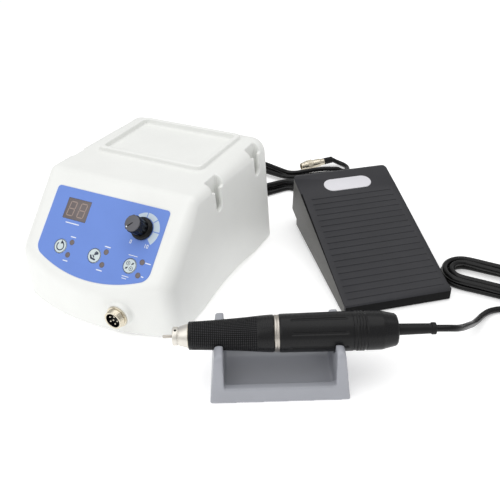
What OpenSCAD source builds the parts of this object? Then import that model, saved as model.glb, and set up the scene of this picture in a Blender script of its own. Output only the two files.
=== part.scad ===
// Brushless micromotor set: control unit, handpiece on its cradle, foot pedal, and their cords.
// Millimetres, +Z up. The origin is on the table under the control unit,
// and the front of the control unit faces -Y.

/* [Control unit] */
// Width of the unit at its foot
unit_w = 157; // [148:1:175]
// Depth of the unit at its foot, without the front socket
unit_d = 197; // [192:1:201]
// Distance of the front of the unit ahead of the origin
front_ahead = 93; // [90:1:96]
// Height of the top at the rear edge
unit_h = 104; // [100:1:115]
// Inward lean of each side over the full height
side_lean = 5.4; // [2:0.1:8]
// Wall thickness of the housing
wall = 2.6; // [2:0.1:3.2]
// Gap between the table and the lower edge of the housing
skirt_gap = 2.5; // [1.5:0.1:4]
// Radius of the bowed front, seen from above
bow_r = 187; // [165:1:240]
// Radius of the front corners, seen from above
corner_r = 16; // [14:1:20]
// Radius where the front wall turns into the panel slope
shoulder_r = 17; // [13:1:20]
// Radius along the front edge of the top
brow_r = 8; // [7:1:12]
// Radius of the rear edges
rear_r = 14; // [11:1:15]
// Fall of the top per millimetre towards the front
top_fall = 0.005; // [0:0.005:0.02]
// Rise of the arch in the lower edge of each side
arch_h = 4.5; // [2:0.1:4.8]
// Length of that arch
arch_l = 95; // [70:1:110]
// Distance of the middle of the arch behind the origin
arch_y = 12; // [0:1:20]

/* [Tray on the top] */
// Outer width of the tray rim
tray_w = 106; // [90:0.5:110]
// Outer depth of the tray rim
tray_d = 75; // [62:0.5:78]
// Distance from the tray rim to the rear of the unit
tray_back = 16; // [12:0.5:18]
// Height of the rim above the rear edge of the top
tray_rise = 3.7; // [3:0.1:6]
// Width of the rim
tray_rim = 4.2; // [3:0.1:6]
// Depth of the tray
tray_depth = 4.8; // [4.4:0.1:5]

/* [Holder pockets in the sides] */
// Width of the slot in the lip of each pocket
slot_w = 9.4; // [8:0.1:11]
// Drop of the bottom of the slot below the top
slot_drop = 28.5; // [24:0.5:32]
// Half width of each pocket
notch_half = 9; // [7.5:0.1:10]
// Reach of each pocket inwards from the foot line of the side
notch_reach = 12.6; // [11.8:0.1:15]
// Drop of the lip below the top
notch_drop = 9.5; // [8:0.1:11]
// Thickness of the lip
lip_t = 3.1; // [2.6:0.1:3.4]
// Distance of the front pair ahead of the rear pair
slot_pitch = 71; // [64:1:76]
// Distance of the rear pair from the rear of the unit
slot_back = 27.5; // [25:0.5:32]

/* [Front panel] */
// Slope of the panel from level, in degrees
panel_tilt = 45.2; // [43:0.1:48]
// Distance of the upper edge of the panel behind the front of the unit
panel_back = 54.9; // [53:0.1:57]
// Drop of the upper edge of the panel below the rear edge of the top
panel_low = 10.9; // [9:0.1:13]
// Width of the panel
panel_w = 111.4; // [108:0.1:116]
// Length of the panel down its slope
panel_drop = 70.5; // [69:0.1:73]
// Radius of the bowed lower edge of the panel
panel_arc_r = 121; // [110:1:150]
// Radius of the lower corners of the panel
panel_low_r = 10; // [7:0.5:13]
// Radius of the upper corners of the panel
panel_top_r = 3; // [2:0.5:6]
// Thickness of the printed overlay
overlay_t = 0.8; // [0.5:0.1:1.2]
// Depth of the control board behind the face of the panel
board_depth = 9; // [8.5:0.1:10]
// Width of the display window
display_w = 23.3; // [20:0.1:24]
// Height of the display window
display_h = 17.8; // [15:0.1:18.5]
// Distance of the display to the left of the middle
display_x = 29.3; // [26:0.1:33]
// Distance of the display below the upper edge of the panel
display_b = 17.4; // [15:0.1:20]
// Radius of the round keys
button_r = 6; // [5:0.1:6.4]
// Travel of the round keys
button_travel = 0.5; // [0.3:0.1:0.6]
// Distance from key to key
button_pitch = 34.5; // [32:0.1:36]
// Distance of the middle key to the right of the middle
button_x = 1.6; // [0:0.1:3]
// Distance of the keys below the upper edge of the panel
button_b = 49.8; // [48:0.1:51]
// Radius of the indicator lenses
led_r = 2.3; // [1.8:0.1:2.5]
// Distance of the indicators to the right of their key
led_side = 9.7; // [9.3:0.1:10.5]
// Half the distance between the two indicators of a key
led_half = 5.35; // [4:0.05:6]

/* [Speed knob] */
// Distance of the knob to the right of the middle
knob_x = 36.4; // [33:0.1:38]
// Distance of the knob below the upper edge of the panel
knob_b = 19; // [17:0.1:22]
// Height of the knob above the panel
knob_h = 17; // [14:0.1:20]
// Radius of the skirt of the knob
knob_skirt_r = 9.4; // [8.8:0.1:10]
// Radius of the knob at its top
knob_top_r = 6.9; // [6.3:0.1:7.5]
// Number of grip flutes
knob_flutes = 12; // [10:1:14]
// Radius of the control shaft in the knob
knob_shaft_r = 3; // [2.5:0.1:3.2]

/* [Round sockets and mains parts] */
// Outer radius of the front socket
socket_r = 7.9; // [7:0.1:8.5]
// Reach of the front socket in front of its flange
socket_reach = 5; // [4:0.1:7]
// Distance of the front socket to the right of the middle
socket_x = 33.5; // [28:0.5:36]
// Height of the front socket above the table
socket_z = 21.6; // [20:0.1:22.5]
// Radius of the raised ring round the front socket
socket_boss_r = 10.8; // [10.4:0.1:12]
// Outer radius of the pedal socket at the rear
pedal_socket_r = 4.6; // [4:0.1:5.2]
// Distance of the rear sockets from the middle
rear_x = 38; // [34:1:42]
// Height of the mains inlet and of the pedal socket above the table
rear_z = 36; // [32:1:40]
// Height of the power switch above the mains inlet
switch_up = 30; // [27:1:34]

/* [Handpiece] */
// Diameter of the tool shank in the chuck
shank_d = 2.35; // [1.6:0.05:3]
// Reach of the shank in front of the nose
shank_reach = 7.2; // [4:0.1:12]
// Length of the nose
nose_l = 11.1; // [9:0.1:13]
// Diameter of the front face of the nose
nose_d = 13.5; // [12:0.1:14.5]
// Length of the grip sleeve with its running gaps
grip_l = 61.7; // [56:0.1:68]
// Diameter of the grip at the nose
grip_front_d = 20.4; // [19.6:0.1:21.5]
// Diameter of the grip at the ring
grip_rear_d = 27.1; // [25:0.1:27.6]
// Length of the ring behind the grip
ring_l = 3.6; // [2:0.1:5]
// Length of the motor housing
motor_l = 52; // [50:0.1:60]
// Largest diameter of the motor housing
motor_d = 28.6; // [27.6:0.1:30]
// Number of grip flutes along the motor housing
motor_flutes = 8; // [6:1:12]
// Length of the rear cap
cap_l = 32.2; // [30:0.1:36]
// Length of the strain relief behind the cap
relief_l = 28.4; // [24:0.1:34]
// Diameter of the strain relief at the cap
relief_d = 8.5; // [7.5:0.1:9.5]

/* [Cradle] */
// Width of the cradle at its foot
cradle_w = 100; // [92:1:110]
// Depth of the cradle at its foot
cradle_d = 62; // [58:1:70]
// Height of the arms
cradle_h = 39.5; // [39:0.5:44]
// Inward lean of the outer walls, in degrees
cradle_lean = 5.7; // [3:0.1:7]
// Height of the front lip
lip_h = 12; // [9:0.5:15]
// Wall thickness of the cradle
cradle_wall = 7.6; // [6:0.1:9]
// Height of the axis of the handpiece above the table
axis_h = 38.5; // [37.5:0.1:40]
// Distance of the axis of the handpiece behind the front of the cradle
axis_back = 30; // [29:0.5:32]
// Distance of the nose of the handpiece to the left of the middle of the cradle
nose_left = 75.6; // [70:0.1:80]

/* [Foot pedal] */
// Width of the tread
tread_w = 95.7; // [88:0.1:104]
// Length of the ribbed slope of the tread
slope_l = 128.8; // [120:0.1:136]
// Length of the head of the tread behind the slope
head_l = 30.1; // [26:0.1:34]
// Height of the tread at its front
tread_front_h = 10.8; // [10.2:0.1:12]
// Height of the tread at the end of the slope
tread_slope_h = 48.7; // [46:0.1:52]
// Height of the tread at its rear
tread_rear_h = 55.2; // [53:0.1:58]
// Wall thickness of the tread
tread_wall = 2.5; // [2:0.1:3]
// Radius of the rear corners of the tread
tread_corner_r = 9; // [6:0.5:11]
// Number of ribs across the tread
rib_count = 17; // [10:1:20]
// Depth of the grooves between the ribs
rib_depth = 0.6; // [0.4:0.1:1]
// Distance of the pivot behind the front of the tread
pivot_back = 9; // [8:0.1:10]
// Height of the pivot above the table
pivot_h = 6; // [5.8:0.1:6.4]
// Radius of the pivot pin
pivot_r = 2; // [1.5:0.1:2.2]
// Length of the base of the pedal
base_l = 138.5; // [132:0.1:139]
// Radius of the return spring
spring_r = 7; // [5:0.1:8]
// Wire diameter of the return spring
spring_wire = 1.4; // [1:0.1:1.8]
// Number of turns of the return spring
spring_turns = 7; // [5:1:9]

/* [Cords] */
// Diameter of the cords
cord_d = 5.2; // [4.6:0.1:5.4]
// Free gap between turns of a wound cord
turn_gap = 0.6; // [0.5:0.05:0.8]

/* [Layout on the table] */
// Place of the front of the cradle to the right of the origin
cradle_x = 178.8; // [170:0.1:190]
// Place of the front of the cradle behind the origin
cradle_y = -102.9; // [-112:0.1:-95]
// Turn of the cradle, in degrees
cradle_yaw = 27.8; // [24:0.1:32]
// Place of the front of the pedal to the right of the origin
pedal_x = 224.4; // [220:0.1:228]
// Place of the front of the pedal behind the origin
pedal_y = 36.5; // [34:0.1:40]
// Turn of the pedal, in degrees
pedal_yaw = 39.7; // [38:0.1:41]

/* [Hidden] */
$fn = 48;

// Clearances: fit is between fixed pieces, run is round a turning shaft, slip is between moving walls
fit = 0.15;
run = 0.05;
slip = 0.3;
// Cuts run this far past the faces that they open
over = 1;

// Control unit: places that follow from its sizes
front_y = -front_ahead;
rear_y = unit_d - front_ahead;
bow_y = front_y + bow_r;
panel_y = front_y + panel_back;
panel_z = unit_h - panel_low;
plate_t = 2.5;
plate_z = skirt_gap + arch_h + 0.5;
plate_gap = 0.6;
corner_level = 40;
tray_top = unit_h + tray_rise;
tray_floor = tray_top - tray_depth;
tray_y = rear_y - tray_back - tray_d / 2;
slot_ys = [rear_y - slot_back - slot_pitch, rear_y - slot_back];
slot_z = unit_h - slot_drop + slot_w / 2;
pocket_z = unit_h - slot_drop - 2;
sill_z = unit_h - notch_drop;
pocket_in = unit_w / 2 - notch_reach;
shoulder_xs = [-36, -18, 0, 18, 36];
screw_r = 1.5;
screw_head_r = 3;
boss_r = 4.2;
boss_h = 26;
post_r = 3;
board_t = 1.6;
foot_r = 7;
foot_in = 21;
foot_back = 31;
screw_xs = unit_w / 2 - 12.5;
screw_ys = [front_y + 52, rear_y - 24];
post_points = [[-46, -8], [46, -5], [-46, -57], [24, -58]];

function half_w(z) = unit_w / 2 - side_lean * (z - skirt_gap) / (unit_h - skirt_gap);
function bow_at(x, r) = bow_y - sqrt((bow_r - r) * (bow_r - r) - x * x);
function slope_z(y, r) = panel_z + (sin(panel_tilt) * (y - panel_y) - r) / cos(panel_tilt);
brow_y = (unit_h - top_fall * rear_y - brow_r - panel_z + tan(panel_tilt) * panel_y
    + brow_r / cos(panel_tilt)) / (tan(panel_tilt) - top_fall);
brow_z = slope_z(brow_y, brow_r);
corner_x = half_w(corner_level) - corner_r;
corner_y = bow_at(corner_x, corner_r);

// Rear parts and front socket
flange_t = 1.5;
boss_y = bow_at(socket_x, 0) - 3.6;
socket_wall = 2;
inlet_w = 27;
inlet_h = 19.5;
inlet_flange = 2.5;
switch_w = 19;
switch_h = 13;
rocker_tilt = 9;
rocker_r = 1.2;
rocker_depth = -1;

// Handpiece: stations along its axis, from the front face of the nose
grip_s = nose_l;
ring_s = grip_s + grip_l;
motor_s = ring_s + ring_l;
cap_s = motor_s + motor_l;
relief_s = cap_s + cap_l;
cord_s = relief_s + relief_l;
shank_r = shank_d / 2;
shank_neck = 0.9;
collet_r = 2.6;
spindle_r = 4;
bearing_r = 8;
bearing_l = 6;
quill_r = 8.9;
stator_r = 12;
magnet_r = 7.6;
bearing_stations = [nose_l + 2, nose_l + 19, cap_s + 4];

// Pedal: places that follow from its sizes, in the pedal's own frame
head_s = slope_l + head_l;
step_s = base_l + slip * 8;
skirt_s = head_s + 4.6;
skirt_front_h = 1.2;
step_low_h = 8;
step_high_h = 14.7;
skirt_rear_h = 19.8;
pad_h = 1.5;
base_floor = 2.5;
base_wall_h = 12;
base_w = tread_w - 2 * tread_wall - 4 * slip;
lug_t = 5;
lug_r = pivot_r + 1.8;
lug_x = tread_w / 2 - 16;
spring_s = 105;
seat_h = 34;
gland_x = -20;
gland_h = 6.5;
gland_l = 22;
slope_rise = (tread_slope_h - tread_front_h) / slope_l;

// Cords: the free stretch of each cord is a list of points, in the frame of the table
handpiece_route = [
    [274, -19, 38.3], [279, -13, 35.5], [282, -3, 30], [284, 10, 22.5], [286, 24, 14.5],
    [288, 38, 8.5], [290, 50, 4.8], [294, 60, 3.2], [301, 67, 2.7], [311, 71, 2.6],
    [323, 73, 2.6], [336, 75, 2.6], [348, 78, 2.6]
];
pedal_route = [
    [103, 151.4, 6.5], [98, 158, 5.8], [93.5, 165, 4.8], [90.2, 172.5, 3.6], [87.4, 179.5, 2.8],
    [83, 185.6, 2.6]
];
layer_rise = cord_d + turn_gap;
loop_rings = 24;

// Handpiece coil: turns laid round two bends
coil_at = [315, 104];
coil_run = 100;
coil_r = 23;
coil_in_turns = 2;
coil_out_turns = 1.5;

// Pedal hank: loops drawn in at a waist
hank_at = [52, 205];
hank_yaw = 18;
hank_rings = 36;
hank_left = 84;
hank_right = 62;
hank_right_share = 0.5;
hank_waist = 7;
hank_lobe = 64;
hank_fan = 20;
hank_from = -75;
hank_in_turns = 1.25;
hank_out_turns = 0.94;

// Plug sizes: a large one for the handpiece and a small one for the pedal
big_plug_r = 7.4;
big_plug_l = 30;
small_plug_r = 4.6;
small_plug_l = 36;

// Helper shapes

// Rectangle with round corners, centred
module round_square(w, d, r) {
    square([w - 2 * r, d], center = true);
    square([w, d - 2 * r], center = true);
    for (x = [-1, 1], y = [-1, 1])
        translate([x * (w / 2 - r), y * (d / 2 - r)])
            circle(r);
}

// Points of an arc, without its first one
function arc_points(x, y, r, from, to, count) =
    [for (i = [1 : count]) let (a = from + (to - from) * i / count) [x + r * cos(a), y + r * sin(a)]];

// The unit seen from above at its foot, drawn in by an inset
module unit_plan(inset) {
    cx = unit_w / 2 - corner_r;
    cy = bow_at(cx, corner_r);
    rx = unit_w / 2 - rear_r;
    ry = rear_y - rear_r;
    turn = asin(cx / (bow_r - corner_r));
    polygon(concat(
        arc_points(0, bow_y, bow_r - inset, 270 - turn, 270 + turn, 24),
        arc_points(cx, cy, corner_r - inset, 270 + turn, 360, 8),
        [[rx + rear_r - inset, ry]],
        arc_points(rx, ry, rear_r - inset, 0, 90, 8),
        [[-rx, ry + rear_r - inset]],
        arc_points(-rx, ry, rear_r - inset, 90, 180, 8),
        [[-cx - corner_r + inset, cy]],
        arc_points(-cx, cy, corner_r - inset, 180, 270 - turn, 8)
    ));
}

// The panel's outline in its own plane, with the upper edge at y = 0
module panel_outline(grow) {
    top_x = panel_w / 2 - panel_top_r;
    low_x = panel_w / 2 - panel_low_r;
    arc_y = panel_arc_r - panel_drop;
    turn = asin(low_x / (panel_arc_r - panel_low_r));
    low_y = arc_y - (panel_arc_r - panel_low_r) * cos(turn);
    polygon(concat(
        arc_points(0, arc_y, panel_arc_r + grow, 270 - turn, 270 + turn, 24),
        arc_points(low_x, low_y, panel_low_r + grow, 270 + turn, 360, 8),
        [[top_x + panel_top_r + grow, -panel_top_r]],
        arc_points(top_x, -panel_top_r, panel_top_r + grow, 0, 90, 6),
        [[-top_x, grow]],
        arc_points(-top_x, -panel_top_r, panel_top_r + grow, 90, 180, 6),
        [[-low_x - panel_low_r - grow, low_y]],
        arc_points(-low_x, low_y, panel_low_r + grow, 180, 270 - turn, 8)
    ));
}

// Frame of the sloped panel: X to the right, Y up the slope, Z out of the face
module on_panel() {
    translate([0, panel_y, panel_z])
        rotate([panel_tilt, 0, 0])
            children();
}

// Frame of the handpiece: Z runs along its axis from the nose to the cord
module on_handpiece() {
    translate([cradle_x, cradle_y, 0])
        rotate([0, 0, cradle_yaw])
            translate([-nose_left, axis_back, axis_h])
                rotate([0, 90, 0])
                    children();
}

module on_cradle() {
    translate([cradle_x, cradle_y, 0])
        rotate([0, 0, cradle_yaw])
            children();
}

module on_pedal() {
    translate([pedal_x, pedal_y, 0])
        rotate([0, 0, pedal_yaw])
            children();
}

// A turned piece: a half outline of radius and station, spun round the axis
module turned(outline) {
    rotate_extrude()
        polygon(outline);
}

module tube(r_out, r_in, from, to) {
    translate([0, 0, from])
        difference() {
            cylinder(r = r_out, h = to - from);
            translate([0, 0, -over])
                cylinder(r = r_in, h = to - from + 2 * over);
        }
}

// Sweeps: a tube of flat sides along a list of points

function along(v) = v / norm(v);
function heading(path, i) =
    along(path[min(i + 1, len(path) - 1)] - path[max(i - 1, 0)]);
function ring_points(p, dir, r, sides) =
    let (side = along(cross(dir, [0, 0, 1])), up = cross(side, dir))
    [for (k = [0 : sides - 1]) p + r * (cos(360 * k / sides) * side + sin(360 * k / sides) * up)];

module sweep(path, r, sides, first, last) {
    count = len(path);
    dirs = [for (i = [0 : count - 1])
        i == 0 ? first : i == count - 1 ? last : heading(path, i)];
    points = [for (i = [0 : count - 1]) each ring_points(path[i], dirs[i], r, sides)];
    walls = [for (i = [0 : count - 2], k = [0 : sides - 1])
        let (a = i * sides + k, b = i * sides + (k + 1) % sides)
        each [[a, b, a + sides], [b, b + sides, a + sides]]];
    head = [for (k = [1 : sides - 2]) [0, k + 1, k]];
    tail_at = (count - 1) * sides;
    tail = [for (k = [1 : sides - 2]) [tail_at, tail_at + k, tail_at + k + 1]];
    polyhedron(points = points, faces = concat(walls, head, tail));
}

// A smooth run through hand-placed points, two steps to a span
function between(p0, p1, p2, p3, t) =
    0.5 * (2 * p1 + (p2 - p0) * t + (2 * p0 - 5 * p1 + 4 * p2 - p3) * t * t
    + (3 * p1 - p0 - 3 * p2 + p3) * t * t * t);
function smooth(p) = [
    for (i = [0 : len(p) - 2], t = [0, 0.5])
        between(p[max(i - 1, 0)], p[i], p[i + 1], p[min(i + 2, len(p) - 1)], t),
    p[len(p) - 1]
];

// Least free gap between turns of a wound path, measured on its points
function least_gap(path, skip) = min([
    for (i = [0 : len(path) - 1], j = [i + skip : 1 : len(path) - 1]) norm(path[i] - path[j])
]) - cord_d;

// Control unit

// Body of the unit: one smooth form, drawn in by an inset and let down for its inner face
module unit_form(inset, detail, drop) {
    hull() {
        translate([0, 0, skirt_gap - drop])
            linear_extrude(over)
                unit_plan(inset);
        for (x = shoulder_xs)
            translate([x, bow_at(x, shoulder_r), slope_z(bow_at(x, shoulder_r), shoulder_r)])
                sphere(shoulder_r - inset, $fn = detail);
        for (s = [-1, 1]) {
            translate([s * corner_x, corner_y, slope_z(corner_y, corner_r)])
                sphere(corner_r - inset, $fn = detail);
            translate([s * (half_w(brow_z) - brow_r), brow_y, brow_z])
                sphere(brow_r - inset, $fn = detail);
            translate([s * (half_w(unit_h - rear_r) - rear_r), rear_y - rear_r, unit_h - rear_r])
                sphere(rear_r - inset, $fn = detail);
        }
    }
}

module screw_places() {
    for (s = [-1, 1], y = screw_ys)
        translate([s * screw_xs, y, plate_z + plate_t])
            children();
}

// Solid backing of the holder pockets, inside the wall
module slot_backing() {
    for (s = [-1, 1], y = slot_ys)
        mirror([s < 0 ? 1 : 0, 0, 0])
            translate([pocket_in - wall, y - notch_half - wall, pocket_z - wall])
                cube([notch_reach + wall, 2 * (notch_half + wall), unit_h - pocket_z + wall]);
}

// Pockets that take the hook of an accessory holder, each behind a lip with a slot
module slot_cuts() {
    for (s = [-1, 1], y = slot_ys)
        mirror([s < 0 ? 1 : 0, 0, 0])
            translate([pocket_in, y, 0]) {
                translate([0, -notch_half, sill_z])
                    cube([notch_reach + over, 2 * notch_half, notch_drop + over]);
                translate([0, -notch_half, pocket_z])
                    cube([half_w(sill_z) - lip_t - pocket_in, 2 * notch_half, sill_z + over - pocket_z]);
                translate([over, -slot_w / 2, slot_z])
                    cube([notch_reach, slot_w, sill_z + over - slot_z]);
                translate([over, 0, slot_z])
                    rotate([0, 90, 0])
                        cylinder(r = slot_w / 2, h = notch_reach);
            }
}

// Ribs and bosses that stand inside the housing
module inner_stands() {
    slot_backing();
    screw_places()
        cylinder(r = boss_r, h = boss_h);
    for (s = [-1, 1], y = screw_ys)
        translate([s > 0 ? screw_xs : -unit_w / 2, y - wall / 2, plate_z + plate_t])
            cube([unit_w / 2 - screw_xs, wall, boss_h]);
    on_panel()
        for (p = post_points)
            translate([p[0], p[1], -board_depth])
                cylinder(r = post_r, h = board_depth);
    translate([socket_x, boss_y, socket_z])
        rotate([-90, 0, 0])
            cylinder(r = socket_boss_r, h = 3.6 + 2 * wall);
}

module button_places() {
    on_panel()
        for (k = [-1, 0, 1])
            translate([button_x + k * button_pitch, -button_b, 0])
                children();
}

module led_places() {
    button_places()
        for (s = [-1, 1])
            translate([led_side, s * led_half, 0])
                children();
}

module panel_cuts() {
    on_panel() {
        translate([0, 0, -overlay_t])
            linear_extrude(overlay_t + over)
                panel_outline(fit);
        translate([-display_x, -display_b, -wall])
            cube([display_w + 2 * fit, display_h + 2 * fit, 4 * wall], center = true);
        translate([knob_x, -knob_b, -3 * wall])
            cylinder(r = knob_shaft_r + 0.6, h = 3 * wall);
    }
    button_places()
        translate([0, 0, -2 * wall])
            cylinder(r = button_r + slip, h = 2 * wall);
    led_places()
        translate([0, 0, -2 * wall])
            cylinder(r = led_r - 0.6, h = 2 * wall);
}

module rear_cuts() {
    translate([-rear_x, rear_y - wall, rear_z])
        cube([inlet_w + 2 * fit, 4 * wall, inlet_h + 2 * fit], center = true);
    translate([-rear_x, rear_y - wall, rear_z + switch_up])
        cube([switch_w + 2 * fit, 4 * wall, switch_h + 2 * fit], center = true);
    translate([rear_x, rear_y - 2 * wall, rear_z])
        rotate([-90, 0, 0])
            cylinder(r = pedal_socket_r + fit, h = 4 * wall);
}

module housing() color("white") {
    arch_r = (arch_l * arch_l / 4 + arch_h * arch_h) / (2 * arch_h);
    difference() {
        union() {
            unit_form(0, 32, 0);
            translate([0, tray_y, unit_h - rear_r])
                linear_extrude(tray_top - unit_h + rear_r)
                    round_square(tray_w, tray_d, tray_rim + 1);
            translate([socket_x, boss_y, socket_z])
                rotate([-90, 0, 0])
                    cylinder(r = socket_boss_r, h = 3.6 + wall);
        }
        difference() {
            unit_form(wall, 24, 2 * over);
            inner_stands();
        }
        translate([0, tray_y, tray_floor])
            linear_extrude(tray_depth + over)
                round_square(tray_w - 2 * tray_rim, tray_d - 2 * tray_rim, tray_rim);
        translate([0, arch_y, skirt_gap + arch_h - arch_r])
            rotate([0, 90, 0])
                cylinder(r = arch_r, h = unit_w + 2 * over, center = true, $fn = 96);
        slot_cuts();
        panel_cuts();
        rear_cuts();
        translate([socket_x, boss_y - over, socket_z])
            rotate([-90, 0, 0])
                cylinder(r = socket_r + fit, h = 3.6 + 4 * wall);
        screw_places()
            translate([0, 0, -over])
                cylinder(r = screw_r + run, h = 12 + over);
    }
}

module base_plate() color("whitesmoke")
    difference() {
        translate([0, 0, plate_z])
            linear_extrude(plate_t)
                unit_plan(wall + plate_gap);
        screw_places()
            translate([0, 0, -plate_t - over])
                cylinder(r = screw_r + fit, h = plate_t + 2 * over);
        translate([socket_x - socket_r - 4, front_y, plate_z - over])
            cube([2 * socket_r + 8, boss_y + socket_behind + 2 - front_y, plate_t + 2 * over]);
    }

module unit_feet() color("dimgray")
    for (x = [-1, 1], y = [front_y + foot_back, rear_y - foot_back])
        translate([x * (unit_w / 2 - foot_in), y, 0])
            cylinder(r1 = foot_r - 1, r2 = foot_r, h = plate_z);

module base_screws() color("silver")
    screw_places()
        translate([0, 0, -plate_t]) {
            translate([0, 0, -2])
                cylinder(r = screw_head_r, h = 2);
            cylinder(r = screw_r, h = plate_t + 10);
        }

module panel_overlay() color("cornflowerblue")
    difference() {
        on_panel()
            translate([0, 0, -overlay_t])
                linear_extrude(overlay_t)
                    difference() {
                        panel_outline(0);
                        translate([-display_x, -display_b])
                            square([display_w + 2 * fit, display_h + 2 * fit], center = true);
                        translate([knob_x, -knob_b])
                            circle(knob_shaft_r + 0.6);
                        for (k = [-1, 0, 1])
                            translate([button_x + k * button_pitch, -button_b]) {
                                circle(button_r + slip);
                                for (s = [-1, 1])
                                    translate([led_side, s * led_half])
                                        circle(led_r + run);
                            }
                    }
    }

module display_lens() color("rosybrown")
    on_panel()
        translate([-display_x, -display_b, -overlay_t / 2])
            cube([display_w, display_h, overlay_t], center = true);

module display_module() color("dimgray")
    on_panel()
        translate([-display_x, -display_b, -(overlay_t + board_depth) / 2])
            cube([display_w, display_h, board_depth - overlay_t], center = true);

module indicator_lenses() color("gray")
    led_places() {
        translate([0, 0, -overlay_t])
            cylinder(r = led_r, h = overlay_t);
        translate([0, 0, -board_depth])
            cylinder(r = led_r - 0.6 - run, h = board_depth - overlay_t);
    }

// A round key: a cap in the overlay, a flange behind the wall and a stem over its switch
module round_key(k) color("gainsboro")
    on_panel()
        translate([button_x + k * button_pitch, -button_b, 0]) {
            translate([0, 0, -wall - 0.2])
                cylinder(r = button_r, h = wall + 0.2);
            translate([0, 0, -wall - 1.2])
                cylinder(r = button_r + 0.9, h = 0.9);
            translate([0, 0, -wall - 1.2])
                cylinder(r = 2, h = 1.2);
        }

module key_direction() round_key(-1);

module key_control() round_key(0);

module key_auto() round_key(1);

knob_lift = 0.6;
knob_cap_t = 1;

module on_knob() {
    on_panel()
        translate([knob_x, -knob_b, knob_lift])
            children();
}

module speed_knob() color("black")
    on_knob()
        difference() {
            union() {
                turned([
                    [0, 0], [knob_skirt_r, 0], [knob_skirt_r, 1.6], [knob_skirt_r - 0.8, 2.6],
                    [knob_top_r + 0.2, 3.4], [0, 3.4]
                ]);
                linear_extrude(knob_h - knob_lift - knob_cap_t)
                    difference() {
                        circle(knob_top_r + 0.2);
                        for (k = [0 : knob_flutes - 1])
                            rotate([0, 0, 360 * k / knob_flutes])
                                translate([knob_top_r + 0.7, 0])
                                    circle(1.2);
                    }
            }
            translate([0, 0, -over])
                cylinder(r = knob_shaft_r + run, h = knob_h - 4 + over);
            translate([0, 0, -over])
                cylinder(r = knob_shaft_r + 1.5, h = 2.5 + over);
        }

module knob_cap() color("dimgray")
    on_knob()
        translate([0, 0, knob_h - knob_lift - knob_cap_t])
            difference() {
                cylinder(r = knob_top_r - 0.4, h = knob_cap_t);
                rotate([0, 0, 225])
                    translate([0, -0.4, knob_cap_t - 0.4])
                        cube([knob_top_r, 0.8, knob_cap_t]);
            }

module control_shaft() color("silver")
    on_panel()
        translate([knob_x, -knob_b, -board_depth + 1.2])
            cylinder(r = knob_shaft_r, h = board_depth - 1.2 + knob_lift + knob_h - 4.2);

module potentiometer() color("slategray")
    on_panel()
        translate([knob_x, -knob_b, -board_depth])
            difference() {
                union() {
                    cylinder(r = 8, h = board_depth - wall - slip);
                    cylinder(r = knob_shaft_r + 0.5, h = board_depth + 1.8);
                }
                translate([0, 0, 1])
                    cylinder(r = knob_shaft_r + run, h = board_depth + over);
            }

// Circuit board behind the panel, with a push switch under each key
module control_board() color("darkgreen")
    on_panel() {
        translate([0, 2.25 - panel_drop / 2, -board_depth - board_t / 2])
            cube([panel_w - 7.4, panel_drop - 12.5, board_t], center = true);
        for (k = [-1, 0, 1])
            translate([button_x + k * button_pitch, -button_b, -board_depth]) {
                translate([0, 0, 1.6])
                    cube([6, 6, 3.2], center = true);
                cylinder(r = 1.7, h = board_depth - wall - 1.2 - button_travel - run);
            }
    }

// Round threaded socket along an axis that points out of its wall
module socket_shell(r, reach, behind) {
    difference() {
        union() {
            cylinder(r = r + 1.4, h = flange_t);
            translate([0, 0, -behind])
                cylinder(r = r, h = behind + flange_t + reach);
        }
        translate([0, 0, -behind - over])
            cylinder(r = r - socket_wall + 0.3, h = behind + flange_t + reach + 2 * over);
    }
}

module on_front_socket() {
    translate([socket_x, boss_y, socket_z])
        rotate([90, 0, 0])
            children();
}

module on_pedal_socket() {
    translate([rear_x, rear_y, rear_z])
        rotate([-90, 0, 0])
            children();
}

socket_behind = 14;
insert_r = socket_r - socket_wall + 0.25;
insert_top = flange_t + socket_reach - 3;
pin_circle = insert_r * 0.6;

module front_socket_shell() color("silver")
    on_front_socket()
        socket_shell(socket_r, socket_reach, socket_behind);

module front_socket_insert() color("black")
    on_front_socket()
        translate([0, 0, -socket_behind + 2])
            cylinder(r = insert_r, h = insert_top + socket_behind - 2);

module front_socket_pins() color("gainsboro")
    on_front_socket() {
        translate([0, 0, insert_top])
            cylinder(r = 0.8, h = 2.2, $fn = 24);
        for (k = [0 : 4])
            rotate([0, 0, 72 * k])
                translate([pin_circle, 0, insert_top])
                    cylinder(r = 0.8, h = 2.2, $fn = 24);
    }

module front_socket_nut() color("silver")
    on_front_socket()
        translate([0, 0, -3.6 - 2 * wall - 3])
            difference() {
                cylinder(r = socket_r + 3, h = 3, $fn = 6);
                translate([0, 0, -over])
                    cylinder(r = socket_r + run, h = 3 + 2 * over);
            }

module pedal_socket_shell() color("silver")
    on_pedal_socket()
        socket_shell(pedal_socket_r, socket_reach, 10);

module pedal_socket_insert() color("black")
    on_pedal_socket()
        translate([0, 0, -8]) {
            cylinder(r = pedal_socket_r - socket_wall + 0.25, h = 8 + flange_t + 2);
            for (k = [0 : 2])
                rotate([0, 0, 120 * k])
                    translate([1.4, 0, 0])
                        cylinder(r = 0.5, h = 8 + flange_t + 4, $fn = 24);
        }

// Mains inlet with three blades, set back behind its mouth
module mains_inlet() color("black")
    translate([-rear_x, rear_y, rear_z])
        rotate([-90, 0, 0])
            difference() {
                union() {
                    linear_extrude(inlet_flange)
                        round_square(inlet_w + 8, inlet_h + 5, 3);
                    translate([-inlet_w / 2, -inlet_h / 2, -20])
                        cube([inlet_w, inlet_h, 20]);
                }
                difference() {
                    translate([0, 0, -15])
                        linear_extrude(20)
                            round_square(inlet_w - 3, inlet_h - 3, 2);
                    for (p = [[-7, -1.5], [7, -1.5], [0, 2.5]])
                        translate([p[0] - 1, p[1] - 2, -15])
                            cube([2, 4, 12]);
                }
            }

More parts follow.
